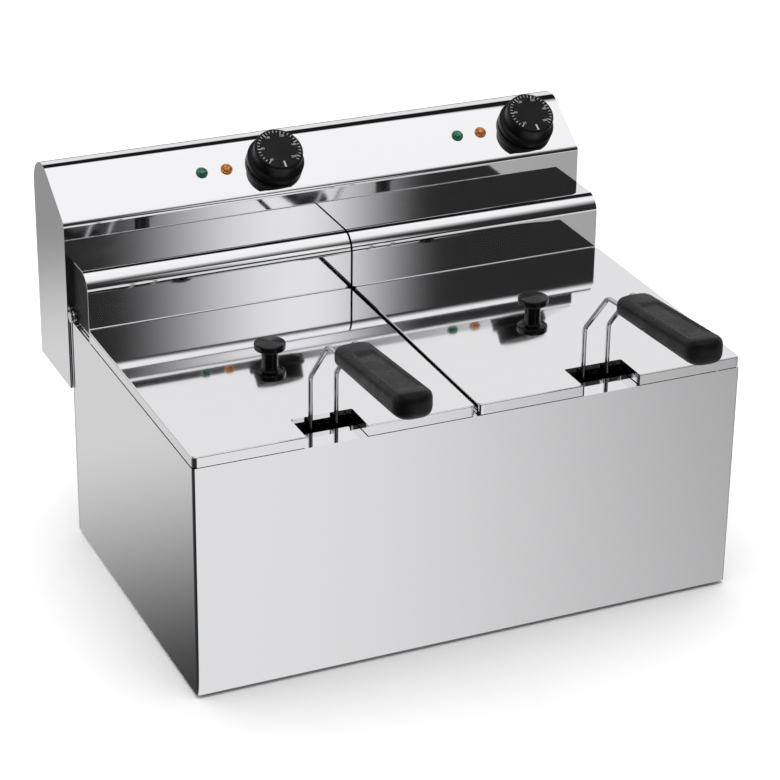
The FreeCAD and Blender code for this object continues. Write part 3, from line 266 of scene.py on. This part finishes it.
def prism_group():
    """Inside of a lamp cap: small moulded prisms, as a height and a mask of their edges."""
    tree, given, result = new_group("lens_prisms", {"Vector": None, "Scale": 480.0},
                                    ("Height", "Mask"))
    cells = add(tree, "ShaderNodeTexVoronoi", Vector=given.outputs["Vector"],
                Scale=given.outputs["Scale"])
    tree.links.new(cells.outputs["Distance"], result.inputs["Height"])
    tree.links.new(remap(tree, cells.outputs["Distance"], 0.15, 0.6), result.inputs["Mask"])


def new_material(name):
    """A material with an empty tree, its shader, and the object's own coordinates."""
    material = bpy.data.materials.new(name)
    material.use_nodes = True
    tree = material.node_tree
    shader = next(n for n in tree.nodes if n.type == "BSDF_PRINCIPLED")
    coordinates = tree.nodes.new("ShaderNodeTexCoord").outputs["Object"]
    return material, tree, shader, coordinates


def use_group(tree, group, vector, **values):
    """Place a node group in a material with its own values."""
    made = tree.nodes.new("ShaderNodeGroup")
    made.node_tree = group
    tree.links.new(vector, made.inputs["Vector"])
    for name, value in values.items():
        made.inputs[name].default_value = value
    return made.outputs


def bump(tree, shader, height, distance, strength=1.0, under=None):
    """Raise a height on the shader's normal, over an earlier bump if there is one."""
    made = add(tree, "ShaderNodeBump", Strength=strength, Distance=distance, Height=height)
    if under is not None:
        tree.links.new(under, made.inputs["Normal"])
    tree.links.new(made.outputs["Normal"], shader.inputs["Normal"])
    return made.outputs["Normal"]


def two_tones(tree, factor, first, second):
    """A colour between two, by a factor."""
    blend = tree.nodes.new("ShaderNodeMix")
    blend.data_type = "RGBA"
    tree.links.new(factor, blend.inputs["Factor"])
    for socket, value in zip([i for i in blend.inputs if i.type == "RGBA"], (first, second)):
        socket.default_value = (*value, 1)
    return next(o for o in blend.outputs if o.type == "RGBA")


def steel(name, colour, roughness, scratch, smudge, wave):
    """Stainless sheet from mirror-bright to satin."""
    material, tree, shader, coordinates = new_material(name)
    shader.inputs["Metallic"].default_value = 1.0
    shader.inputs["Base Color"].default_value = (*colour, 1)
    finish = use_group(tree, bpy.data.node_groups["rolled_sheet"], coordinates,
                       Roughness=roughness, Scratch=scratch, Smudge=smudge)
    tree.links.new(finish["Roughness"], shader.inputs["Roughness"])
    rolling = bump(tree, shader, finish["Wave"], wave)
    bump(tree, shader, finish["Scratches"], 2e-6, 0.5, rolling)
    return material


def plastic(name, colour, roughness, rub, size, depth, coat=0.0, lighter=1.5):
    """Moulded black or coloured plastic with grain and rubbed patches."""
    material, tree, shader, coordinates = new_material(name)
    finish = use_group(tree, bpy.data.node_groups["moulded_grain"], coordinates,
                       Roughness=roughness, Rub=rub, Size=size)
    tree.links.new(finish["Roughness"], shader.inputs["Roughness"])
    worn = tuple(min(1.0, c * lighter + 0.0008) for c in colour)
    tree.links.new(two_tones(tree, finish["Tone"], colour, worn), shader.inputs["Base Color"])
    shader.inputs["Specular IOR Level"].default_value = 0.22
    shader.inputs["Coat Weight"].default_value = coat
    bump(tree, shader, finish["Height"], depth)
    return material


def heated_steel(name, cool, hot):
    """Heating tube: dull steel with straw and brown bands burnt into it."""
    material, tree, shader, coordinates = new_material(name)
    shader.inputs["Metallic"].default_value = 1.0
    finish = use_group(tree, bpy.data.node_groups["rolled_sheet"], coordinates,
                       Roughness=0.34, Scratch=0.1, Smudge=0.16)
    tree.links.new(finish["Roughness"], shader.inputs["Roughness"])
    burnt = add(tree, "ShaderNodeTexNoise", Vector=coordinates, Scale=24.0, Detail=4.0)
    bands = remap(tree, burnt.outputs["Fac"], 0.4, 0.65)
    tree.links.new(two_tones(tree, bands, cool, hot), shader.inputs["Base Color"])
    bump(tree, shader, finish["Scratches"], 1e-5, 0.6)
    return material


def lens(name, colour, deep):
    """Pilot lamp cap: clear coloured plastic over a prismed inside."""
    material, tree, shader, coordinates = new_material(name)
    inside = use_group(tree, bpy.data.node_groups["lens_prisms"], coordinates, Scale=480.0)
    prisms = two_tones(tree, inside["Mask"], colour, deep)
    tree.links.new(prisms, shader.inputs["Base Color"])
    tree.links.new(prisms, shader.inputs["Emission Color"])
    shader.inputs["Emission Strength"].default_value = 0.12
    shader.inputs["Roughness"].default_value = 0.12
    shader.inputs["Coat Weight"].default_value = 0.6
    shader.inputs["Coat Roughness"].default_value = 0.04
    bump(tree, shader, inside["Height"], 2.5e-4, 0.7)
    return material


def ink(name, colour):
    """Printed marks, very slightly worn."""
    material, tree, shader, coordinates = new_material(name)
    speckle = add(tree, "ShaderNodeTexNoise", Vector=coordinates, Scale=1800.0, Detail=2.0)
    rough = remap(tree, speckle.outputs["Fac"], 0.3, 0.7, 0.4, 0.6)
    tree.links.new(rough, shader.inputs["Roughness"])
    shader.inputs["Base Color"].default_value = (*colour, 1)
    return material


# settings that a user would change

class FryerFinishes(bpy.types.PropertyGroup):
    """Colours of the fryer's finishes."""
    steel_colour: bpy.props.FloatVectorProperty(
        name="Steel", description="Colour of the polished sheet", subtype="COLOR",
        default=(0.90, 0.90, 0.915), min=0, max=1)
    steel_roughness: bpy.props.FloatProperty(
        name="Polish", description="Roughness of the polished sheet", default=0.045, min=0, max=1)
    black_colour: bpy.props.FloatVectorProperty(
        name="Black plastic", description="Colour of grips, knobs and dials", subtype="COLOR",
        default=(0.0022, 0.0024, 0.003), min=0, max=1)
    green_colour: bpy.props.FloatVectorProperty(
        name="Green lamp", description="Colour of the mains lamps", subtype="COLOR",
        default=(0.004, 0.25, 0.12), min=0, max=1)
    orange_colour: bpy.props.FloatVectorProperty(
        name="Orange lamp", description="Colour of the heating lamps", subtype="COLOR",
        default=(0.72, 0.24, 0.03), min=0, max=1)


class FryerShapes(bpy.types.PropertyGroup):
    """Sizes of the pieces that are made here."""
    wire_pitch: bpy.props.FloatProperty(
        name="Wire pitch", description="Distance between woven wires", subtype="DISTANCE",
        unit="LENGTH", default=0.008, min=0.004, max=0.02)
    wire_radius: bpy.props.FloatProperty(
        name="Wire radius", description="Radius of the woven wires", subtype="DISTANCE",
        unit="LENGTH", default=0.00055, min=0.0003, max=0.001)
    grip_rear_height: bpy.props.FloatProperty(
        name="Grip height at the rods", description="Height of a grip where its rods enter",
        subtype="DISTANCE", unit="LENGTH", default=0.019, min=0.01, max=0.04)
    grip_front_height: bpy.props.FloatProperty(
        name="Grip height at the tip", description="Height of a grip near its rounded end",
        subtype="DISTANCE", unit="LENGTH", default=0.025, min=0.01, max=0.04)
    dish_depth: bpy.props.FloatProperty(
        name="Dish depth", description="Depth of the thumb dish on a grip", subtype="DISTANCE",
        unit="LENGTH", default=0.002, min=0, max=0.004)
    tick_count: bpy.props.IntProperty(
        name="Ticks", description="Ticks on a dial between its ends", default=27, min=3, max=60)


class FryerStudio(bpy.types.PropertyGroup):
    """Camera and light."""
    azimuth: bpy.props.FloatProperty(
        name="Azimuth", description="Camera's turn round the fryer from its front",
        subtype="ANGLE", unit="ROTATION", default=math.radians(-24.185))
    elevation: bpy.props.FloatProperty(
        name="Elevation", description="Camera's height angle", subtype="ANGLE", unit="ROTATION",
        default=math.radians(25.709))
    roll: bpy.props.FloatProperty(
        name="Roll", description="Camera's tilt about its own line of sight", subtype="ANGLE",
        unit="ROTATION", default=math.radians(0.737))
    distance: bpy.props.FloatProperty(
        name="Distance", description="From the camera to the point that it looks at",
        subtype="DISTANCE", unit="LENGTH", default=2.5914, min=0.5, max=10)
    lens: bpy.props.FloatProperty(
        name="Lens", description="Focal length in millimetres on a 36 mm sensor", default=125.08,
        min=10, max=300)
    aim: bpy.props.FloatVectorProperty(
        name="Aim", description="Point looked at, from the middle of the box's footprint",
        subtype="TRANSLATION", unit="LENGTH", default=(-0.02003, -0.022, 0.19869))


# operators, one for each piece or group of like pieces

class FRYER_OT_finishes(bpy.types.Operator):
    """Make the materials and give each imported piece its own"""
    bl_idname = "fryer.finishes"
    bl_label = "Finishes"

    def execute(self, context):
        look = context.scene.fryer_finishes
        for plain in list(bpy.data.materials):
            bpy.data.materials.remove(plain)
        sheet_group()
        grain_group()
        prism_group()
        metal, black = tuple(look.steel_colour), tuple(look.black_colour)
        duller, darker = (tuple(c * share for c in metal) for share in (0.82, 0.62))
        made = {
            "polished_steel": steel("polished_steel", metal, look.steel_roughness, 0.02, 0.03, 6e-5),
            "satin_steel": steel("satin_steel", duller, 0.26, 0.14, 0.08, 1e-4),
            "screw_steel": steel("screw_steel", duller, 0.16, 0.06, 0.06, 2e-5),
            "chromed_wire": steel("chromed_wire", darker, 0.07, 0.03, 0.04, 2e-5),
            "element_steel": heated_steel("element_steel", (0.33, 0.31, 0.29), (0.16, 0.1, 0.065)),
            "rubber": plastic("rubber", (0.02, 0.02, 0.02), 0.75, 0.1, 700.0, 8e-5),
            "grip_plastic": plastic("grip_plastic", black, 0.36, 0.16, 520.0, 6e-4),
            "knob_plastic": plastic("knob_plastic", black, 0.3, 0.1, 900.0, 3e-5, coat=0.25),
            "dial_plastic": plastic("dial_plastic", black, 0.38, 0.1, 1300.0, 5e-5),
            "green_lens": lens("green_lens", tuple(look.green_colour),
                               tuple(c * 0.25 for c in look.green_colour)),
            "orange_lens": lens("orange_lens", tuple(look.orange_colour),
                                tuple(c * 0.35 for c in look.orange_colour)),
            # Terminal boxes inside the head covers: dark insulating plastic, made near-black so the open ends of
            # the covers read as their shaded insides, which is painted shade.
            "dark_insulator": plastic("dark_insulator", (0.006, 0.006, 0.007), 0.55, 0.1, 700.0, 6e-5),
            "reset_red": plastic("reset_red", (0.5, 0.03, 0.02), 0.35, 0.1, 900.0, 3e-5, coat=0.2),
        }
        ink("dial_ink", (0.42, 0.42, 0.41))
        for part in frame["record"]["subparts"]:
            piece = frame["nodes"][part["node"]]
            piece.data.materials.clear()
            piece.data.materials.append(made[part["material_slot"]])
        return {"FINISHED"}


class FRYER_OT_grips(bpy.types.Operator):
    """Make the moulded grips with their rounded ends and thumb dishes"""
    bl_idname = "fryer.grips"
    bl_label = "Grips"

    def execute(self, context):
        size = context.scene.fryer_shapes
        for side in SIDES:
            points, faces = grip_shape(*span(f"grip_{side}"), size.grip_rear_height,
                                       size.grip_front_height, size.dish_depth)
            piece = new_piece(f"moulded_grip_{side}", points, faces,
                              bpy.data.materials["grip_plastic"], f"basket_{side}")
            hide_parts(f"grip_{side}")
        return {"FINISHED"}


def grip_shape(low, high, rear_height, front_height, dish):
    """A grip as rings of a squared oval along its length.

    Each ring is x = wide*c(a), z = tall*s(a), where c and s are cosine and sine raised to the power
    0.58, which squares the oval. At a distance d from an end of radius r, the half width and half
    height lose r - sqrt(r^2 - (r - d)^2), with a larger r in plan than in side view. The ring's middle
    climbs in a straight line. The thumb dish lowers the top by its depth times an eased window.
    """
    rear_plan, tip_plan, rear_side, tip_side = 0.007, 0.017, 0.004, 0.0105
    squareness, dish_wall = 0.58, 0.0035
    length, half_wide = high[1] - low[1], (high[0] - low[0]) / 2
    turn = np.linspace(0, math.pi / 2, 18)
    flat = np.linspace(0, 1, 5)[:-1]
    widest = 0.0175
    edge = widest * (1 - np.cos(turn))
    back = np.concatenate([flat * 0, edge, np.linspace(widest, length - widest, 60)[1:-1],
                           length - edge[::-1], length + flat * 0])
    scale = np.concatenate([flat, np.ones(len(back) - 2 * len(flat)), flat[::-1]])
    share = back / length
    from_tip = length - back
    half_x = half_wide - round_loss(back, rear_plan) - round_loss(from_tip, tip_plan)
    half_z = (rear_height + (front_height - rear_height) * share) / 2
    half_z = half_z - round_loss(back, rear_side) - round_loss(from_tip, tip_side)
    first = low[2] + rear_height / 2
    climb = high[2] - front_height / 2 - first
    angle = np.arange(96) / 96 * 2 * math.pi
    across = np.sign(np.cos(angle)) * np.abs(np.cos(angle)) ** squareness
    upward = np.sign(np.sin(angle)) * np.abs(np.sin(angle)) ** squareness
    x = (half_x * scale)[:, None] * across
    z = (half_z * scale)[:, None] * upward
    dish_along = eased(share, 0.16, 0.25) * (1 - eased(share, 0.80, 0.90))
    rim = half_wide * (0.38 + 0.2 * share)[:, None]
    dish_across = 1 - eased(np.abs(x), rim, rim + dish_wall)
    z -= dish * dish_along[:, None] * dish_across * (upward > 0.5)
    rings = np.stack([x + (low[0] + high[0]) / 2,
                      np.broadcast_to((high[1] - back)[:, None], x.shape),
                      z + (first + climb * share)[:, None]], -1)
    return capped(rings)


def round_loss(distance, radius):
    """What a round of a radius takes off a half size at a distance from its end."""
    near = np.clip(radius - distance, 0, radius)
    return radius - np.sqrt(radius ** 2 - near ** 2)


def eased(value, low, high):
    """0 below low, 1 above high and a smooth cubic between."""
    t = np.clip((value - low) / (high - low), 0, 1)
    return t * t * (3 - 2 * t)


class FRYER_OT_baskets(bpy.types.Operator):
    """Weave the wire baskets"""
    bl_idname = "fryer.baskets"
    bl_label = "Baskets"

    def execute(self, context):
        size = context.scene.fryer_shapes
        for side in SIDES:
            low, high = span(f"basket_mesh_{side}")
            points, faces = basket_shape(low, high, size.wire_pitch, size.wire_radius)
            piece = new_piece(f"woven_basket_{side}", points, faces,
                              bpy.data.materials["chromed_wire"], f"basket_{side}")
            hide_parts(f"basket_mesh_{side}")
        return {"FINISHED"}


def basket_shape(low, high, pitch, radius, corner=0.022, bend=0.012, per_cell=3, sides=5):
    """Woven tub: wires across, wires along, and rings, each swaying over and under the others.

    A crossing wire's middle line is the tub's wall moved in and out by radius*cos(pi*(i + j)), where i
    counts cells along the wire and j is the wire's own number, so neighbours sway opposite ways.
    """
    low, high = low + radius * 1.6, high - radius * 1.6
    parts = []
    for axis in (0, 1):
        other = 1 - axis
        count = int((high[other] - low[other]) / pitch)
        start = (low[other] + high[other]) / 2 - (count - 1) * pitch / 2
        for j in range(count):
            spot = start + j * pitch
            gap = min(spot - low[other], high[other] - spot)
            pull = corner - math.sqrt(max(0.0, corner ** 2 - max(0.0, corner - gap) ** 2))
            path = u_path(low[axis] + pull, high[axis] - pull, low[2], high[2], bend,
                          pitch / per_cell)
            sway = radius * np.cos(math.pi * (path[:, 3] / pitch + j + axis))
            line = np.empty((len(path), 3))
            line[:, axis] = path[:, 0] + sway * path[:, 2]
            line[:, other] = spot
            line[:, 2] = path[:, 1] + sway * path[:, 4]
            parts.append(wire(line, radius, sides))
    rows = int((high[2] - low[2] - bend) / pitch)
    for k in range(rows):
        path = ring_path(low, high, corner, pitch / per_cell)
        sway = -radius * np.cos(math.pi * (path[:, 4] / pitch + k))
        line = np.empty((len(path), 3))
        line[:, :2] = path[:, :2] + sway[:, None] * path[:, 2:4]
        line[:, 2] = high[2] - (k + 0.5) * pitch
        parts.append(wire(line, radius, sides, closed=True))
    return merged(parts)


def u_path(near, far, floor, rim, bend, step):
    """Side view of a wire down one wall, over the floor and up the other.

    Each row is its place across and up, the wall's outward normal's across part, the distance along,
    and the normal's upward part.
    """
    quarter = bend * math.pi / 2
    legs = [rim - floor - bend, quarter, far - near - 2 * bend, quarter, rim - floor - bend]
    ends = np.cumsum([0] + legs)
    s = np.linspace(0, ends[-1], max(8, int(ends[-1] / step)))
    t = [np.clip(s - ends[i], 0, legs[i]) for i in range(5)]
    first, second = t[1] / bend, t[3] / bend
    across = near + bend * (1 - np.cos(first)) + t[2] + bend * np.sin(second)
    up = rim - t[0] - bend * np.sin(first) + bend * (1 - np.cos(second)) + t[4]
    angle = first + second
    return np.column_stack([across, up, -np.cos(angle), s, -np.sin(angle)])


def ring_path(low, high, corner, step):
    """Plan view of a closed rounded rectangle: place, outward normal and distance along it."""
    wide, deep = high[0] - low[0] - 2 * corner, high[1] - low[1] - 2 * corner
    quarter = corner * math.pi / 2
    legs = [wide, quarter, deep, quarter, wide, quarter, deep, quarter]
    ends = np.cumsum([0] + legs)
    s = np.linspace(0, ends[-1], int(ends[-1] / step), endpoint=False)
    angle = -math.pi / 2 + sum(np.clip(s - ends[i], 0, quarter) / corner for i in (1, 3, 5, 7))
    ways = ((1, 0), (0, 1), (-1, 0), (0, -1))
    centre = np.array([low[0] + corner, low[1] + corner])
    centre = centre + sum(np.clip(s - ends[2 * i], 0, legs[2 * i])[:, None] * np.array(way)
                          for i, way in enumerate(ways))
    normal = np.column_stack([np.cos(angle), np.sin(angle)])
    return np.column_stack([centre + corner * normal, normal, s])


class FRYER_OT_dial_marks(bpy.types.Operator):
    """Print the ring of ticks and plain numbers on each dial"""
    bl_idname = "fryer.dial_marks"
    bl_label = "Dial marks"

    def execute(self, context):
        count = context.scene.fryer_shapes.tick_count
        for side in SIDES:
            points, faces = dial_marks(side, count)
            new_piece(f"dial_print_{side}", points, faces, bpy.data.materials["dial_ink"],
                      f"dial_{side}", smooth=False)
        return {"FINISHED"}


def dial_marks(side, count):
    """Ticks as thin raised bars on a 270 degree ring, and numbers inside it, as one mesh."""
    centre, right, uphill, outward = dial_axes(side)
    height = ((points_of(f"dial_{side}") - centre) @ outward).max()
    outer, film = 0.0222, 0.00012
    start, sweep, number_ring, number_size = 225, 270, 0.0165, 0.0035
    short, long, pointer = (0.0026, 0.0003), (0.0042, 0.00042), (0.007, 0.0009)
    parts = []
    for i in range(count):
        length, half_width = short if i % 5 else long
        angle = math.radians(start - sweep * i / (count - 1))
        parts.append(bar(angle, outer - length, outer, half_width, film))
    parts.append(bar(math.radians(-90), outer - pointer[0], outer, pointer[1], film))
    points, faces = merged(parts)
    faces = faces.tolist()
    words = ("60", "90", "120", "150", "180", "200")
    for i, word in enumerate(words):
        angle = math.radians(start - sweep * i / (len(words) - 1))
        spots, word_faces = word_mesh(word, number_size, film)
        spots[:, 0] += number_ring * math.cos(angle)
        spots[:, 1] += number_ring * math.sin(angle)
        faces += [[v + len(points) for v in face] for face in word_faces]
        points = np.vstack([points, spots])
    axes = np.array([right, uphill, outward])
    points[:, 2] += height
    return points @ axes + centre, faces


def bar(angle, start, end, half_width, film):
    """A flat bar that points outwards from the dial's middle, as a thin closed slab."""
    way = np.array([math.cos(angle), math.sin(angle), 0])
    side = np.array([-way[1], way[0], 0]) * half_width
    up = np.array([0, 0, film])
    ring = [way * start - side, way * end - side, way * end + side, way * start + side]
    points = np.array(ring + [corner + up for corner in ring])
    faces = np.array([[3, 2, 1, 0], [4, 5, 6, 7], [0, 1, 5, 4], [1, 2, 6, 5], [2, 3, 7, 6],
                      [3, 0, 4, 7]])
    return points, faces


def word_mesh(word, size, film):
    """Vertices and faces of a short number, centred on the origin, as a thin slab."""
    curve = bpy.data.curves.new("number", "FONT")
    curve.body = word
    curve.size = size
    curve.extrude = film / 2
    curve.resolution_u = 2
    curve.align_x = "CENTER"
    curve.align_y = "CENTER"
    holder = bpy.data.objects.new("number", curve)
    bpy.context.scene.collection.objects.link(holder)
    mesh = bpy.data.meshes.new_from_object(holder.evaluated_get(
        bpy.context.evaluated_depsgraph_get()))
    points = np.array([v.co[:] for v in mesh.vertices])
    points[:, 2] += film / 2
    faces = [list(p.vertices) for p in mesh.polygons]
    bpy.data.objects.remove(holder)
    bpy.data.meshes.remove(mesh)
    bpy.data.curves.remove(curve)
    return points, faces


class FRYER_OT_studio(bpy.types.Operator):
    """Make the pale floor, the soft studio light, its reflection cards and the camera"""
    bl_idname = "fryer.studio"
    bl_label = "Studio"

    def execute(self, context):
        scene = context.scene
        scene.view_settings.view_transform = "Standard"
        world = bpy.data.worlds.new("white_room")
        world.use_nodes = True
        world.node_tree.nodes["Background"].inputs["Color"].default_value = (1, 1, 1, 1)
        scene.world = world
        make_floor()
        make_floor_card()
        make_dome()
        make_camera(scene)
        return {"FINISHED"}


def flat_square(name, half, height, material):
    """A square stage surface round the middle of the box."""
    centre = box_middle()
    points = np.array([[-half, -half, 0], [half, -half, 0], [half, half, 0], [-half, half, 0]])
    piece = new_piece(name, points + centre + [0, 0, height], np.array([[0, 1, 2, 3]]), material,
                      smooth=False)
    return piece


def make_floor():
    """A pale matt floor."""
    material, _, shader, _ = new_material("pale_floor")
    shader.inputs["Base Color"].default_value = (0.93, 0.93, 0.93, 1)
    shader.inputs["Roughness"].default_value = 0.85
    shader.inputs["Specular IOR Level"].default_value = 0.1
    flat_square("floor", 3.2, 0.0, material)


def glowing(name):
    """A material that only gives light, with its tree, its emission node and object coordinates."""
    material = bpy.data.materials.new(name)
    material.use_nodes = True
    tree = material.node_tree
    tree.nodes.clear()
    light = tree.nodes.new("ShaderNodeEmission")
    end = tree.nodes.new("ShaderNodeOutputMaterial")
    tree.links.new(light.outputs[0], end.inputs["Surface"])
    return material, tree, light, tree.nodes.new("ShaderNodeTexCoord").outputs["Object"]


def make_floor_card():
    """A card on the floor that only polished surfaces see.

    Behind the box's front plane it pales towards the back and dims again far behind. Before that plane
    it dims to the right, along the slant by which a front wall mirrors it, and is dark left of the box.
    """
    mirror_slant = 0.453
    material, tree, light, coordinates = glowing("floor_card")
    low, high = span("casing")
    middle = (low + high) / 2
    split = add(tree, "ShaderNodeSeparateXYZ", Vector=coordinates)
    beside = remap(tree, split.outputs[1], low[1], low[1] + 0.55, 0.05, 0.68)
    beside = calc(tree, "MULTIPLY", beside, remap(tree, split.outputs[1], low[1] + 0.75,
                                                  low[1] + 1.15, 1.0, 0.45))
    ahead = calc(tree, "SUBTRACT", split.outputs[1], low[1])
    seen = calc(tree, "MULTIPLY_ADD", ahead, mirror_slant, split.outputs[0])
    before = remap(tree, seen, middle[0] - 0.25, middle[0] + 0.5, 0.8, 0.39)
    before = calc(tree, "MULTIPLY", before, remap(tree, split.outputs[0], low[0] - 0.01, low[0],
                                                  0.03, 1.0))
    is_front = remap(tree, split.outputs[1], low[1] - 0.004, low[1] + 0.004, 1.0, 0.0)
    mix = calc(tree, "ADD", calc(tree, "MULTIPLY", before, is_front),
               calc(tree, "MULTIPLY", beside, calc(tree, "SUBTRACT", 1.0, is_front)))
    tree.links.new(mix, light.inputs["Color"])
    card = flat_square("floor_card", 5.0, 0.0004, material)
    only_in_reflections(card)


def only_in_reflections(thing):
    """Hide a stage surface from everything but mirror-like rays."""
    thing.visible_camera = False
    thing.visible_diffuse = False
    thing.visible_shadow = False
    thing.visible_transmission = False
    thing.visible_volume_scatter = False


def make_dome():
    """A great dome whose brightness depends on direction: softboxes, dark flags and a back wall."""
    material, tree, light, coordinates = glowing("studio_dome")
    way = add(tree, "ShaderNodeVectorMath", Vector=coordinates)
    way.operation = "NORMALIZE"
    split = add(tree, "ShaderNodeSeparateXYZ", Vector=way.outputs[0])
    x, y, z = split.outputs
    height = calc(tree, "DIVIDE", calc(tree, "ARCSINE", z), math.pi / 2)
    front = ramp(tree, height, [(0.0, 0.75), (0.07, 0.7), (0.1, 0.015), (0.16, 0.02), (0.42, 0.03),
                                (0.52, 0.3), (0.66, 0.95), (1.0, 1.0)])
    rear = ramp(tree, height, [(0.0, 0.02), (0.05, 0.02), (0.08, 0.8), (0.41, 0.84), (0.45, 0.01),
                               (0.65, 0.01), (0.69, 1.0), (1.0, 1.0)])
    turn = calc(tree, "ARCTAN2", x, calc(tree, "MULTIPLY", y, -1.0))
    window = remap(tree, turn, math.radians(15.5), math.radians(22), 0.0, 0.9)
    window = calc(tree, "MULTIPLY", window, remap(tree, turn, math.radians(27), math.radians(22.5)))
    window = calc(tree, "MULTIPLY", window, remap(tree, height, 0.16, 0.2))
    window = calc(tree, "MULTIPLY", window, remap(tree, height, 0.4, 0.36))
    is_front = remap(tree, y, 0.15, -0.15)
    mix = calc(tree, "ADD", calc(tree, "MULTIPLY", calc(tree, "ADD", front, window), is_front),
               calc(tree, "MULTIPLY", rear, calc(tree, "SUBTRACT", 1.0, is_front)))
    tree.links.new(mix, light.inputs["Color"])
    rays = tree.nodes.new("ShaderNodeLightPath").outputs["Is Diffuse Ray"]
    tree.links.new(calc(tree, "MULTIPLY_ADD", rays, 2.1, 1.0), light.inputs["Strength"])
    rows, columns, radius = 24, 48, 6.0
    rise = np.linspace(-0.05, math.pi / 2 - 0.02, rows)[:, None]
    around = np.arange(columns)[None, :] / columns * 2 * math.pi
    points = np.stack(np.broadcast_arrays(np.cos(rise) * np.cos(around),
                                          np.cos(rise) * np.sin(around),
                                          np.sin(rise)), -1).reshape(-1, 3) * radius
    faces = grid_faces(rows, columns, wrap_columns=True)[:, ::-1].tolist()
    faces.append(list(range((rows - 1) * columns, rows * columns))[::-1])
    dome = new_piece("studio_dome", points + box_middle(), faces, material)
    dome.visible_camera = False


def make_camera(scene):
    """The camera, placed by its angles round the fryer."""
    view = scene.fryer_studio
    back = np.array([math.sin(view.azimuth) * math.cos(view.elevation),
                     -math.cos(view.azimuth) * math.cos(view.elevation), math.sin(view.elevation)])
    right = np.cross(-back, [0, 0, 1])
    right /= np.linalg.norm(right)
    up = np.cross(right, -back)
    c, s = math.cos(view.roll), math.sin(view.roll)
    right, up = c * right + s * up, c * up - s * right
    camera = bpy.data.objects.new("camera", bpy.data.cameras.new("camera"))
    scene.collection.objects.link(camera)
    spot = box_middle() + np.array(view.aim) + back * view.distance
    camera.matrix_world = Matrix([(right[i], up[i], back[i], spot[i]) for i in range(3)]
                                 + [(0, 0, 0, 1)])
    camera.data.sensor_width = 36
    camera.data.lens = view.lens
    scene.camera = camera


class FRYER_PT_panel(bpy.types.Panel):
    """Buttons that make the fryer's looks"""
    bl_idname = "FRYER_PT_panel"
    bl_label = "Fryer"
    bl_space_type = "VIEW_3D"
    bl_region_type = "UI"
    bl_category = "Fryer"

    def draw(self, context):
        for word in ("fryer_finishes", "fryer_shapes", "fryer_studio"):
            settings = getattr(context.scene, word)
            box = self.layout.box()
            for name in settings.__annotations__:
                box.prop(settings, name)
        for operator in OPERATORS:
            self.layout.operator(operator.bl_idname)


GROUPS = {"fryer_finishes": FryerFinishes, "fryer_shapes": FryerShapes, "fryer_studio": FryerStudio}
OPERATORS = (FRYER_OT_finishes, FRYER_OT_grips, FRYER_OT_baskets, FRYER_OT_dial_marks,
             FRYER_OT_studio)


def register():
    for name, group in GROUPS.items():
        bpy.utils.register_class(group)
        setattr(bpy.types.Scene, name, bpy.props.PointerProperty(type=group))
    for made in OPERATORS + (FRYER_PT_panel,):
        bpy.utils.register_class(made)


def unregister():
    for made in (FRYER_PT_panel,) + OPERATORS[::-1]:
        bpy.utils.unregister_class(made)
    for name, group in GROUPS.items():
        delattr(bpy.types.Scene, name)
        bpy.utils.unregister_class(group)


def main():
    """Make everything in order."""
    register()
    for operator in OPERATORS:
        getattr(bpy.ops.fryer, operator.bl_idname.split(".")[1])()


if __name__ == "__main__":
    main()
